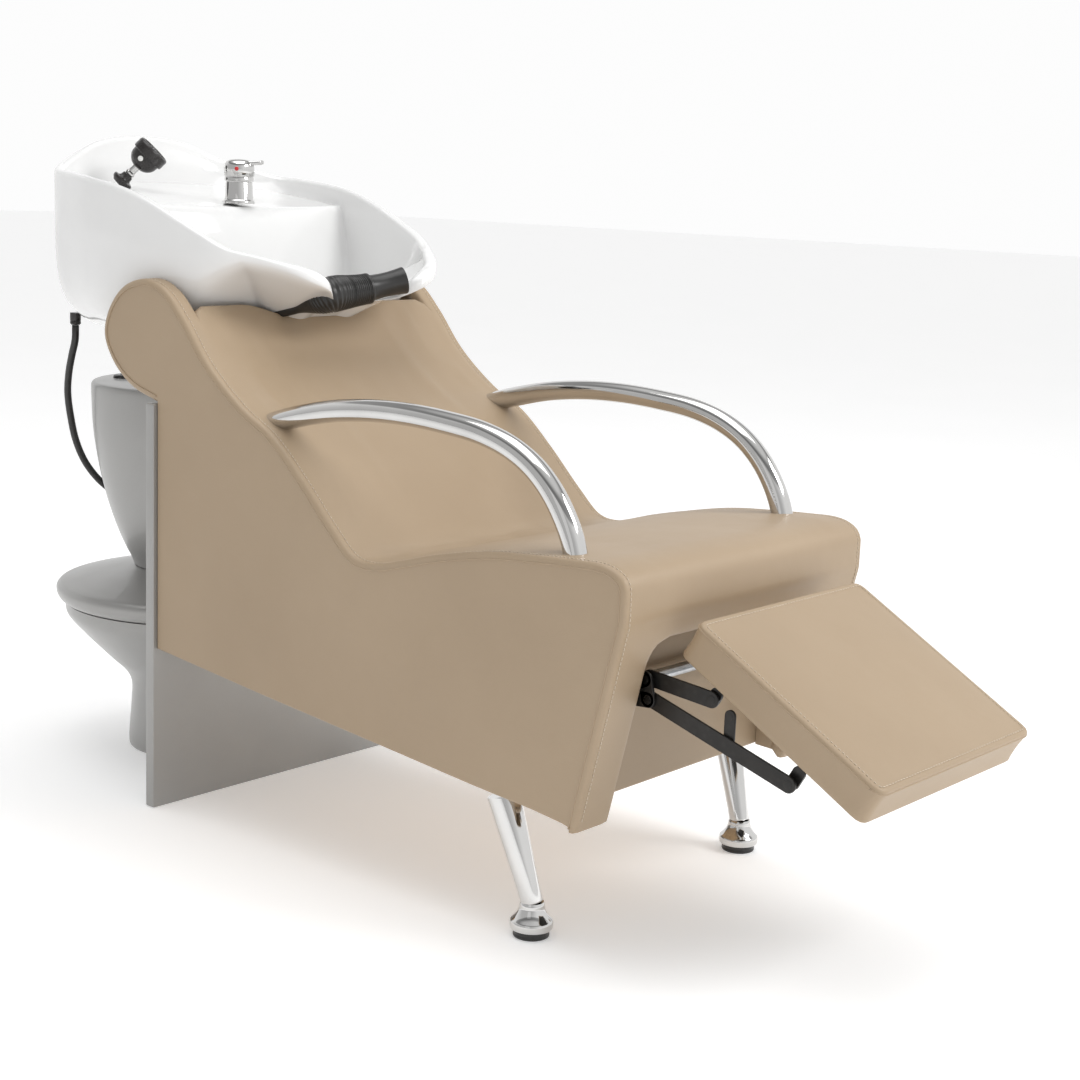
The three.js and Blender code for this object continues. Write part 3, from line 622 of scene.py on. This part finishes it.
def add_bay_lining():
    """Thin walls and a ceiling for the bay, stepped up behind the apron to clear the folded cranks."""
    rear = RECESS_Y - 0.5
    step = -388
    top = BAY_TOP + 0.3
    loft = 441
    skin = 3.4
    low_front, high_front = front_y(184) + 9, front_y(top) + 9
    shape = Shape()
    for side in (-1, 1):
        wall = [(low_front, 184), (rear, 186), (rear, loft), (step, loft), (high_front, top)]
        shape.slab(wall, BAY_HALF + 0.3, BAY_HALF + 4, 1, lambda y, z, w: P(side * w, y, z), 2)
    for ceiling in ([(high_front, top), (step, top), (step, top + skin), (high_front, top + skin)],
                    [(step - 3, top), (step, top), (step, loft + 3), (step - 3, loft + 3)],
                    [(step, loft), (rear, loft), (rear, loft + skin), (step, loft + skin)]):
        shape.slab(ceiling, -BAY_HALF - 3, BAY_HALF + 3, 0.8, lambda y, z, w: P(w, y, z), 2)
    piece("bay_lining", shape, LEATHER, "frame")


def add_small_lounge_parts():
    half = WELL_HALF
    recess = rounded_outline([(-half, 185.5), (half, 187), (half, 448), (-half, 448)], 6)
    shape = Shape().slab(recess, RECESS_Y, RECESS_Y + 16, 4, lambda x, z, w: P(x, w, z))
    piece("recess_trim", shape, LEATHER, "frame", ["recess_panel"])
    add_bay_lining()
    cradle = rounded_outline([(481, 648), (548, 672), (560, 700), (543, 711), (492, 711), (481, 700)], 6)
    shape = Shape().slab(cradle, -half, half, 4, lambda y, z, w: P(w, y, z))
    piece("roll_cradle", shape, LEATHER, "frame", ["roll_bridge"])
    board = rounded_outline([(-BOARD_HALF, 0.5), (BOARD_HALF, 0.5), (BOARD_HALF, BOARD_TOP),
                             (-BOARD_HALF, BOARD_TOP)], 4)
    shape = Shape().slab(board, BOARD_FRONT, BOARD_REAR, 2.2, lambda x, z, w: P(x, w, z))
    piece("rear_board_visual", shape, SILVER, "frame", ["rear_board"], sharp=50)


add_small_lounge_parts()


# ---------- arms, legs and feet ----------
ARM_ROUTE = [(312, 611), (300, 618), (270, 632), (235, 644), (180, 658), (124, 669), (51, 677), (-20, 679),
             (-88, 676), (-155, 669), (-207, 655), (-248, 634), (-280, 606), (-303, 575), (-318, 546),
             (-326, 520), (-328, 512)]
ARM_X, ARM_RADIUS = 239.6, 16
FOOT_X, FOOT_Y = 244.3, -277
LEG_FOOT_Z = 46
LEG_TOP = (258, -233, 186)


def add_arms_and_legs():
    for side, end in ((-1, "left"), (1, "right")):
        line = evenly(catmull([P(side * ARM_X, y, z) for y, z in ARM_ROUTE], 8), 0.009)
        shape = Shape().tube(line, ARM_RADIUS * MM, 40)
        piece(f"arm_{end}", shape, CHROME, "frame", [f"armrest_{end}"])

        foot = (side * FOOT_X, FOOT_Y, 0)
        low = Vector((side * FOOT_X, FOOT_Y, LEG_FOOT_Z))
        high = Vector((side * LEG_TOP[0], LEG_TOP[1], LEG_TOP[2]))
        axis = (high - low).normalized()
        length = (high - low).length + 6
        leg = [(0, 0), (14.6, 0), (15.3, 0.8), (15.5, 2), (15.5, 18), (22.4, length - 2), (22, length),
               (0, length)]
        shape = Shape().lathe(leg, low, axis, 48)
        piece(f"leg_tube_{end}", shape, CHROME, "frame", [f"leg_{end}"], sharp=40)
        bell = [(0, 10.4), (26, 10.4), (28, 10.8), (29.6, 12.4), (30, 14.5), (30, 20), (29.5, 22.6),
                (28, 24.5), (25.5, 26.6), (22.5, 30.5), (19.8, 35), (18, 39.5), (17.4, 42), (17.6, 44),
                (16.8, 46.5), (15.8, 48.5), (0, 48.5)]
        shape = Shape().lathe(bell, foot, UPWARDS, 56)
        piece(f"bell_foot_{end}", shape, CHROME, "frame", [f"foot_{end}"], sharp=50)
        pad = [(0, 0), (23.4, 0), (24.6, 0.6), (25, 1.8), (25, 4), (24.3, 4.6), (24.3, 5.6), (25, 6.2),
               (25, 10), (0, 10)]
        shape = Shape().lathe(pad, foot, UPWARDS, 48)
        piece(f"foot_rubber_{end}", shape, RUBBER, "frame", [f"foot_pad_{end}"], sharp=50)


add_arms_and_legs()

# ---------- pedestal ----------
COLUMN_Y = 720
GROMMET_X, GROMMET_Y, GROMMET_SQUASH = -62, 832, 0.7


def arc(cx, cz, radius, start, end, count):
    angles = [math.radians(start + (end - start) * k / count) for k in range(count + 1)]
    return [(cx + radius * cos(a), cz + radius * sin(a)) for a in angles]


def turned_line(points, per=6):
    return [(p.x, p.y) for p in catmull([Vector(p) for p in points], per)]


def beside_board(form, segments):
    """A form turned about the column's axis, flattened where it meets the back of the rear board."""
    limit = (BOARD_REAR + 0.3 - SHIFT_Y) * MM
    rings = []
    for r, h in form:
        ring = [P(r * cos(2 * pi * i / segments), COLUMN_Y + r * sin(2 * pi * i / segments), h)
                for i in range(segments)]
        rings.append([Vector((p.x, max(p.y, limit), p.z)) for p in ring])
    return Shape().rings(rings)


def add_pedestal():
    wall = turned_line([(108, 325), (112, 336), (125, 362), (142, 405), (157, 455), (168, 505), (176, 560),
                        (179, 620)], 6)
    top = arc(172, 633, 7, 0, 90, 5)
    shell = [(0, 325)] + wall + [(179, 630)] + top[1:] + [(160, 640), (0, 640)]
    shape = Shape().lathe(shell, (0, COLUMN_Y, 0), UPWARDS, 96)
    piece("column", shape, SILVER, "frame", ["column_shell"], sharp=40)
    collar = [(15, 636), (15, 644.4), (16, 645.2), (24, 645.2), (27, 644), (28, 641.6), (28, 640.2),
              (22, 639.5)]
    turns = [2 * pi * i / 48 for i in range(48)]
    shape = Shape().rings([[P(GROMMET_X + r * cos(a), GROMMET_Y + GROMMET_SQUASH * r * sin(a), h)
                            for a in turns] for r, h in collar], loop=True)
    shape.lathe([(0, 640.3), (15.4, 640.3), (15.4, 641.4), (0, 641.4)], (GROMMET_X, GROMMET_Y, 0), UPWARDS,
                32, GROMMET_SQUASH)
    piece("grommet", shape, PLASTIC_BLACK, "frame", ["hose_grommet"], sharp=45)

    under = turned_line([(112, 0.8), (115.4, 2), (116.8, 12), (115.4, 40), (112.5, 80), (112, 112),
                         (117, 128), (127, 142), (146, 160), (168, 182), (196, 211), (222, 243),
                         (224, 261)], 5)
    shape = beside_board([(0.05, 1)] + under + [(0.05, 261.2)], 120)
    piece("pedestal_foot", shape, SILVER, "frame", ["pedestal_base"], sharp=40)
    edge = turned_line([(222, 262), (229, 265), (235, 271), (238.6, 280), (238, 288), (233, 293.6),
                        (226, 296.4), (214, 299.5), (200, 303), (160, 312), (120, 320), (106, 324.4)], 5)
    shape = beside_board([(0.05, 262)] + edge + [(0.05, 324.6)], 144)
    piece("tray_top", shape, SILVER, "frame", ["tray"], sharp=40)
    lip = []
    for k in range(25):
        a = math.radians(196 + 34 * k / 24)
        swell = sin(pi * k / 24)
        lip.append(P((134 + 3 * swell) * cos(a), COLUMN_Y + (134 + 3 * swell) * sin(a), 149 - 5 * swell))
    shape = Shape().tube(lip, lambda t: (0.6 + 3.2 * sin(pi * min(max(t, 0.01), 0.99))) * MM, 12)
    piece("pedestal_lip", shape, SILVER, "frame")


add_pedestal()

# ---------- basin ----------
RIM = [(0, 880, 1050), (94, 872, 1040), (146, 862, 1021), (190, 838, 1007), (236, 796, 991), (252, 734, 986),
       (261, 672, 979), (258, 610, 969), (253, 550, 953), (246, 475, 924), (236, 420, 900), (221, 389, 884),
       (194, 355, 875), (168, 325, 867), (143, 303, 860), (120, 291, 852), (101, 290, 841), (84, 301, 826),
       (66, 317, 813), (40, 328, 808), (0, 332, 806)]
MIDDLE = Vector((0, 530))
FLOOR = 727
WALL = 17
DRAIN = Vector((0, 525))
SHELF_TOP, SHELF_SLOPE = 939, 0.13
SHELF_FOOT_Y, SHELF_EDGE_Y = 540, 600


def rim_line(step):
    left = [(-x, y, z) for x, y, z in RIM[1:-1]][::-1]
    return evenly(catmull(RIM + left, 10, closed=True), step, closed=True)


def steepness(rim_y):
    return step_up(300, 520, rim_y)


def ear(p):
    """How much a rim point belongs to one of the two rounded lobes beside the neck."""
    return math.exp(-((abs(p.x) - 122) / 42) ** 2) * step_up(400, 330, p.y)


def wall_height(fraction, p):
    """How high the shell has risen, from 0 to 1, at a fraction of the way out to a rim point."""
    steep = steepness(p.y)
    power = 2 + 3.7 * steep
    box = 1 - (1 - min(fraction, 1) ** power) ** (1 / power)
    bow = sin(pi / 2 * fraction) ** 2
    full_cheek = math.exp(-((abs(p.x) - 165) / 85) ** 2) * step_up(520, 360, p.y)
    share = max(steep, 0.30 * full_cheek)
    return bow * (1 - share) + box * share


def soft_max(a, b, blend):
    """The larger of the two, with a rounded change from one to the other."""
    gap = max(blend - abs(a - b), 0) / blend
    return max(a, b) + gap * gap * blend / 4


def add_basin():
    rim = rim_line(5.5)
    low = FLOOR + WALL
    rings = []

    def ring(reach_of, height_of):
        points = []
        for p in rim:
            out = Vector((p.x, p.y)) - MIDDLE
            reach = reach_of(out.length, wall_at(p))
            at = MIDDLE + out.normalized() * reach
            points.append(P(at.x, at.y, height_of(p, at)))
        rings.append(points)

    def lip_rise(p):
        return 3 + 5.5 * steepness(p.y) + 15 * ear(p)

    def wall_at(p):
        return WALL + 11 * ear(p)

    outside = [0.02, 0.08, 0.16, 0.24, 0.32, 0.4, 0.48, 0.55, 0.62, 0.68, 0.74, 0.79, 0.84, 0.88, 0.915,
               0.945, 0.967, 0.982, 0.992, 0.998, 1]
    for f in outside:
        ring(lambda full, wall: full * f,
             lambda p, at: FLOOR + (p.z - lip_rise(p) - FLOOR) * wall_height(f, p))
    for k in range(1, 8):
        a = pi * k / 8
        ring(lambda full, wall: full - wall / 2 + wall / 2 * cos(a),
             lambda p, at: p.z - lip_rise(p) + lip_rise(p) * sin(a))
    inside = [1, 0.998, 0.993, 0.985, 0.975, 0.96, 0.94, 0.92, 0.895, 0.87]
    inside += [k / 100 for k in range(84, 8, -3)]

    def inner_height(p, f, at):
        wall = low + (p.z - lip_rise(p) - low) * wall_height(f, p)
        bay = 35 * min(abs(at.x) / 232, 1) ** 2
        rise = step_up(SHELF_FOOT_Y + bay, SHELF_EDGE_Y + bay, at.y)
        shelf = low + (SHELF_TOP + max(at.y - SHELF_EDGE_Y, 0) * SHELF_SLOPE - low) * rise
        shelf = min(shelf, p.z - lip_rise(p) - 3)
        blend = 14 + 26 * rise + 200 * rise * (1 - rise)
        height = soft_max(wall, shelf, blend) if rise > 0.02 else wall
        dish = step_up(46, 24, (at - DRAIN).length)
        return height - 3.5 * dish

    for f in inside:
        ring(lambda full, wall: (full - wall) * f, lambda p, at: inner_height(p, f, at))
    shape = Shape().rings(rings)
    piece("basin_shell", shape, CERAMIC, "basin", ["basin_bowl"])

    outlet = (DRAIN.x, DRAIN.y, 0)
    cup = [(0, 741), (29, 741), (30.5, 742.2), (31, 744), (29, 745.4), (25, 744.6), (20, 743), (17, 742.6),
           (0, 742.6)]
    shape = Shape().lathe(cup, outlet, UPWARDS, 48)
    for k in range(8):
        a = 2 * pi * k / 8
        spoke = [P(DRAIN.x + r * cos(a), DRAIN.y + r * sin(a), h) for r, h in ((3, 743.6), (24, 744.4))]
        shape.tube(spoke, 1.2 * MM, 8)
    shape.lathe([(0, 742), (5, 742), (5, 744.8), (3.6, 745.8), (0, 746)], outlet, UPWARDS, 24)
    piece("drain_grid", shape, CHROME, "basin", ["drain_strainer"], sharp=45)
    tail = [(0, 714), (18, 714), (19, 715), (19, 722), (22, 724), (23, 726), (23, 742), (0, 742)]
    shape = Shape().lathe(tail, outlet, UPWARDS, 36)
    piece("waste_spigot", shape, PLASTIC_WHITE, "basin", ["waste_tail"], sharp=40)
    hose_tail = [(0, 735.9), (7, 735.9), (9, 738), (9, 741), (8.2, 742), (9, 743), (9, 756), (0, 756)]
    shape = Shape().lathe(hose_tail, (-185, 812, 0), UPWARDS, 32)
    piece("hose_union", shape, PLASTIC_BLACK, "basin", ["hose_tail"], sharp=40)


add_basin()

# ---------- neck rest ----------
NECK_PATH = [(-86, 446, 777), (-85, 425, 780), (-82, 385, 789), (-74, 354, 802), (-60, 333, 815),
             (-25, 331, 819), (8, 326, 823), (40, 314, 830), (70, 299, 838)]
BAND_START_X, BAND_END_X = 8, 15
RIB_PITCH = 4.3


def add_neck_rest():
    line = evenly(catmull([P(*p) for p in NECK_PATH], 12), 0.0008)
    split = next(i for i, p in enumerate(line) if p.x > BAND_START_X * MM)
    collar = next(i for i, p in enumerate(line) if p.x > BAND_END_X * MM)
    ribbed, band, end = line[:split + 1], line[split:collar + 1], line[collar:]

    total = line_length(ribbed) * 1000

    def ribs(t):
        left = (1 - t) * total
        body = 23.5 + 4.0 * step_up(0, 70, left) - 21 * step_up(68, 135, left)
        return (body + sin(2 * pi * left / RIB_PITCH) * step_up(105, 85, left)) * MM

    shape = Shape().tube(ribbed, ribs, 48)
    piece("neck_roll", shape, RUBBER, "basin", ["neck_rest"])
    shape = Shape().tube(band, lambda t: (22.0 + 2.4 * min(sin(pi * t) * 2.2, 1)) * MM, 48)
    piece("neck_band", shape, RUBBER, "basin", ["neck_collar"])

    def flare(t):
        wide = 20.5 - 2.0 * sin(pi * t) + 1.2 * t
        return (wide if t < 0.97 else wide * (1 - ((t - 0.97) / 0.035) ** 2) ** 0.5) * MM

    shape = Shape().tube(end, flare, 48)
    piece("neck_end", shape, RUBBER, "basin", ["neck_rest_end"], sharp=50)


add_neck_rest()

# ---------- mixer ----------
MIXER_Y, MIXER_Z, MIXER_R = 618, 946, 23
LEVER_TURN = math.radians(-50)


def add_mixer():
    base = (0, MIXER_Y, MIXER_Z)
    r = MIXER_R
    body = [(0, -1), (r + 3, -1), (r + 3, 2.4), (r + 2, 4), (r + 0.6, 5), (r, 6.5), (r - 1, 33),
            (r - 1.6, 34), (0, 34)]
    shape = Shape().lathe(body, base)
    piece("mixer_barrel", shape, CHROME, "basin", ["mixer_body"], sharp=50)
    collar = [(0, 34.4), (r, 34.4), (r + 1, 35.2), (r + 1, 41.2), (r + 0.2, 42), (0, 42)]
    shape = Shape().lathe(collar, base)
    piece("mixer_ring", shape, CHROME, "mixer_swivel", ["mixer_collar"], sharp=50)
    cap = [(0, 42.6), (r + 0.8, 42.6), (r + 1.7, 43.4), (r + 2, 57), (r + 1, 62), (r - 2, 66.5),
           (r - 8, 69.6), (0, 71)]
    shape = Shape().lathe(cap, base)
    blade = rounded_outline([(-6, -13), (36, -9.5), (42, 0), (36, 9.5), (-6, 13)], [2, 9, 9, 9, 2])

    def on_cap(u, v, w):
        x = u * cos(LEVER_TURN) - v * sin(LEVER_TURN)
        y = u * sin(LEVER_TURN) + v * cos(LEVER_TURN)
        return P(x, MIXER_Y + y, MIXER_Z + w + max(u, 0) * 0.1)

    shape.slab(blade, 59, 66, 2.4, on_cap)
    piece("mixer_handle", shape, CHROME, "mixer_lift", ["mixer_lever"], sharp=50)
    facing = Vector((-0.765, -0.645, 0)).normalized()
    seat = Vector(base) + facing * (r + 1.6) + Vector((0, 0, 55))
    shape = Shape().lathe([(0, 0), (3.2, 0), (3.4, 1.2), (2.8, 2), (0, 2.3)], seat, facing, 28)
    piece("mixer_dot", shape, PLASTIC_RED, "mixer_lift", ["mixer_index_dot"])


add_mixer()

# ---------- hand spray ----------
SPRAY_BASE = Vector((-112, 778, 976))
SPRAY_AXIS = Vector((0.5, -0.5, 0.707)).normalized()


def add_spray():
    socket = [(0, -10), (13, -10), (17.6, -5), (18.2, -1.5), (17.4, 0.6), (11.5, 2.2), (9.6, 5), (9, 11),
              (0, 11)]
    shape = Shape().lathe(socket, SPRAY_BASE, SPRAY_AXIS, 40)
    piece("spray_holder", shape, PLASTIC_BLACK, "basin", ["spray_socket"], sharp=40)
    stub = [(0, 3), (6.2, 3), (6.5, 12), (8.2, 14), (8.2, 17), (6.5, 19), (6.5, 30), (0, 30)]
    shape = Shape().lathe(stub, SPRAY_BASE, SPRAY_AXIS, 40)
    piece("spray_stem", shape, CHROME, "spray_handset", ["spray_stub"], sharp=40)
    head = turned_line([(8, 30.2), (12, 31.4), (17, 34.6), (21, 39), (24, 45), (25, 54)], 5)
    shape = Shape().lathe([(0, 30)] + head + [(0, 54)], SPRAY_BASE, SPRAY_AXIS, 56)
    piece("spray_dome", shape, PLASTIC_BLACK, "spray_handset", ["spray_head"], sharp=40)
    rose = [(0, 54.3), (27.4, 54.3), (28.5, 55.4), (28.5, 68.5), (27.8, 71), (26, 72.6), (23.5, 73),
            (22.5, 71.6), (0, 71.6)]
    shape = Shape().lathe(rose, SPRAY_BASE, SPRAY_AXIS, 64)
    side = SPRAY_AXIS.orthogonal().normalized()
    other = SPRAY_AXIS.cross(side)
    for radius, count in ((6, 6), (12, 12), (18, 18)):
        for k in range(count):
            a = 2 * pi * k / count
            at = SPRAY_BASE + SPRAY_AXIS * 71.4 + (side * cos(a) + other * sin(a)) * radius
            shape.lathe([(0, 0), (1.3, 0), (1.1, 1.2), (0, 1.4)], at, SPRAY_AXIS, 8)
    piece("spray_rose", shape, PLASTIC_BLACK, "spray_handset", ["spray_face"], sharp=40)
    facing = Vector((-0.765, -0.645, 0.1))
    facing = (facing - SPRAY_AXIS * facing.dot(SPRAY_AXIS)).normalized()
    seat = SPRAY_BASE + SPRAY_AXIS * 47 + facing * 18
    shape = Shape().lathe([(0, 3), (4.5, 3), (4.5, 7.4), (3.8, 8.6), (2.4, 9.2), (0, 9.4)], seat, facing, 28)
    piece("spray_press_button", shape, PLASTIC_WHITE, "spray_trigger", ["spray_button"],
          sharp=45)


add_spray()

# ---------- leg rest ----------
PAD_REAR = Vector((-486, 465))
PAD_LENGTH, PAD_HALF, PAD_THICK = 323, 194, 54.5
SLOPE = math.radians(29.5)


def on_pad(x, back, up):
    """A point on the leg rest: across, rearwards from its rear top edge, and up from its top."""
    return P(x, PAD_REAR.x + back * cos(SLOPE) - up * sin(SLOPE),
             PAD_REAR.y + back * sin(SLOPE) + up * cos(SLOPE))


def add_pad():
    middle = PAD_LENGTH / 2
    corner = rounded_outline([(-PAD_HALF, -PAD_LENGTH), (PAD_HALF, -PAD_LENGTH), (PAD_HALF, 0),
                              (-PAD_HALF, 0)], 17, 10)
    outline = [tuple(p) for p in evenly([Vector(p) for p in corner], 7.0, closed=True)]
    border = [(60, -PAD_THICK), (8, -PAD_THICK), (3.5, -PAD_THICK + 0.6), (1.2, -PAD_THICK + 2),
              (0.3, -PAD_THICK + 5), (1.2, -44), (1.8, -30), (1.5, -18), (0.6, -9), (0.2, -6), (0.6, -3.2),
              (2, -1.2), (4.5, -0.2), (6.8, -0.2)]
    rings = [[on_pad(u, v, up) for u, v in inset_line(outline, inset)] for inset, up in border]
    base = inset_line(outline, 8.4)
    for k in range(23):
        f = 1 - k / 22.4
        level = []
        for u, v in base:
            at = Vector((u * f, -middle + (v + middle) * f))
            wide = 1 - (at.x / (PAD_HALF - 8)) ** 2
            deep = 1 - ((at.y + middle) / (middle - 8)) ** 2
            crown = 6.5 * (max(wide, 0) * max(deep, 0)) ** 0.5 - 0.9
            crown += 0.9 * noise.noise(Vector((at.x / 70, at.y / 60, 4.2))) * (1 - f)
            level.append(on_pad(at.x, at.y, crown))
        rings.append(level)
    shape = Shape().rings(rings)
    pad = piece("legrest_cushion", shape, LEATHER, "legrest_pad", ["legrest_pad"])
    welt, thread = Shape(), Shape()
    edge = inset_line(outline, 0.3)
    line = [on_pad(u, v, -6.2) for u, v in edge]
    welt.tube(line + line[:1], 1.2 * MM, 8)
    out = Vector((0, -sin(SLOPE), cos(SLOPE)))
    row = [(on_pad(u, v, -0.7), out) for u, v in inset_line(outline, 8.6)]
    stitches(thread, row + row[:1], 0.7 * MM)
    piece("legrest_welt", welt, LEATHER, "legrest_pad")
    piece("legrest_stitching", thread, THREAD, "legrest_pad")


add_pad()

CRANK_PIVOT, CRANK_LOW, CRANK_HIGH = (-340, 345), (-419, 350), (-413, 376)
BRACKET_TOP = (-342, 407)
LOWER_END, UPPER_END = (-635, 286), (-511, 367)
BRACE_LOW, BRACE_HIGH = (-541, 314), (-541, 352)
BRACKET_X, CRANK_X, LOWER_X, UPPER_X = 200.5, 195, 190, 185
BAR_RADIUS, BAR_THICK = 11, 4


def capsule(a, b, radius, steps=10):
    """The outline of a flat bar with round ends."""
    angle = math.atan2(b[1] - a[1], b[0] - a[0])
    points = []
    for (y, z), start in ((b, angle - pi / 2), (a, angle + pi / 2)):
        points += [(y + radius * cos(start + pi * k / steps), z + radius * sin(start + pi * k / steps))
                   for k in range(steps + 1)]
    return points


def flat_bar(shape, side, layer, a, b, radius, thick):
    """A flat bar between two pivots, its inner face at the layer, with a rivet head at each pivot."""
    shape.slab(capsule(a, b, radius), layer, layer + thick, 0.9, lambda y, z, w: P(side * w, y, z), 3)
    for y, z in (a, b):
        shape.lathe([(0, -1), (radius * 0.6, -1), (radius * 0.58, 0.25), (radius * 0.4, 0.5), (0, 0.55)],
                    (side * (layer + thick), y, z), (side, 0, 0), 24)


def add_linkage():
    for side, end in ((-1, "left"), (1, "right")):
        linkage = [
            ("hinge_bracket", "frame", "legrest_bracket", BRACKET_X, [(CRANK_PIVOT, BRACKET_TOP)], 15, 4.2),
            ("crank_plate", "legrest_crank", "legrest_crank", CRANK_X,
             [(CRANK_PIVOT, CRANK_LOW), (CRANK_LOW, CRANK_HIGH), (CRANK_PIVOT, CRANK_HIGH)],
             BAR_RADIUS, BAR_THICK),
            ("lower_link", "legrest_lower", "lower_bar", LOWER_X, [(CRANK_LOW, LOWER_END)],
             BAR_RADIUS, BAR_THICK),
            ("upper_link", "legrest_upper", "upper_bar", UPPER_X, [(CRANK_HIGH, UPPER_END)],
             BAR_RADIUS, BAR_THICK),
            ("brace_link", "legrest_pad", "legrest_brace", UPPER_X, [(BRACE_LOW, BRACE_HIGH)], 8, BAR_THICK),
        ]
        for name, body, node, layer, bars, radius, thick in linkage:
            shape = Shape()
            for a, b in bars:
                flat_bar(shape, side, layer, a, b, radius, thick)
            piece(f"{name}_{end}", shape, STEEL_BLACK, body, [f"{node}_{end}"], sharp=40)


add_linkage()


# ---------- studio ----------
def add_light(name, at, to, size, power):
    data = bpy.data.lights.new(name, "AREA")
    data.shape = "RECTANGLE"
    data.size, data.size_y = size
    data.energy = power
    lamp = bpy.data.objects.new(name, data)
    lamp.location = at
    lamp.rotation_euler = (Vector(to) - Vector(at)).to_track_quat("-Z", "Y").to_euler()
    bpy.context.scene.collection.objects.link(lamp)


def add_floor():
    mesh = bpy.data.meshes.new("studio_floor")
    reach = 30
    corners = [(-reach, -reach, 0), (reach, -reach, 0), (reach, reach, 0), (-reach, reach, 0)]
    mesh.from_pydata(corners, [], [(0, 1, 2, 3)])
    paper = material("floor_paper", (0.90, 0.90, 0.90), (0.92, 0.92, 0.92), 0.85, tone_scale=2,
                     bumps=[("noise", 300, 0.05)])
    glow = paper.node_tree.nodes["Principled BSDF"].inputs
    glow["Emission Color"].default_value = (1, 1, 1, 1)
    glow["Emission Strength"].default_value = 0.29
    mesh.materials.append(paper)
    floor = bpy.data.objects.new("studio_floor", mesh)
    bpy.context.scene.collection.objects.link(floor)


def add_sky():
    """A white sky, darker in a band overhead and towards the left."""
    world = bpy.data.worlds.new("studio_sky")
    bpy.context.scene.world = world
    world.use_nodes = True
    tree = world.node_tree
    way = tree.nodes.new("ShaderNodeTexCoord")
    split = tree.nodes.new("ShaderNodeSeparateXYZ")
    ramp = tree.nodes.new("ShaderNodeValToRGB")
    stops = [(0.0, 1.0), (0.57, 1.0), (0.61, 0.42), (0.72, 0.34), (0.84, 0.8), (1.0, 0.85)]
    while len(ramp.color_ramp.elements) < len(stops):
        ramp.color_ramp.elements.new(0.5)
    for element, (position, value) in zip(ramp.color_ramp.elements, stops):
        element.position = position
        element.color = (value, value, value, 1)
    tree.links.new(way.outputs["Generated"], split.inputs["Vector"])
    tree.links.new(split.outputs["Z"], ramp.inputs["Fac"])
    shade = tree.nodes.new("ShaderNodeMapRange")
    shade.inputs["From Min"].default_value = -0.7
    shade.inputs["From Max"].default_value = -0.1
    shade.inputs["To Min"].default_value = 0.6
    shade.inputs["To Max"].default_value = 1.0
    tree.links.new(split.outputs["X"], shade.inputs["Value"])
    dim = tree.nodes.new("ShaderNodeVectorMath")
    dim.operation = "SCALE"
    tree.links.new(ramp.outputs["Color"], dim.inputs["Vector"])
    tree.links.new(shade.outputs["Result"], dim.inputs["Scale"])
    background = tree.nodes["Background"]
    tree.links.new(dim.outputs["Vector"], background.inputs["Color"])
    background.inputs["Strength"].default_value = 0.98


add_floor()
add_sky()
add_light("key", (1.4, -3.2, 3.2), (0, -0.1, 0.5), (1.8, 1.4), 70)
add_light("top", (-0.2, 0.1, 4.2), (0, 0, 0.4), (3.0, 3.0), 56)
add_light("near_fill", (-3.2, -1.4, 1.6), (0, 0, 0.5), (1.4, 2.0), 2)
bpy.context.scene.view_settings.view_transform = "Standard"
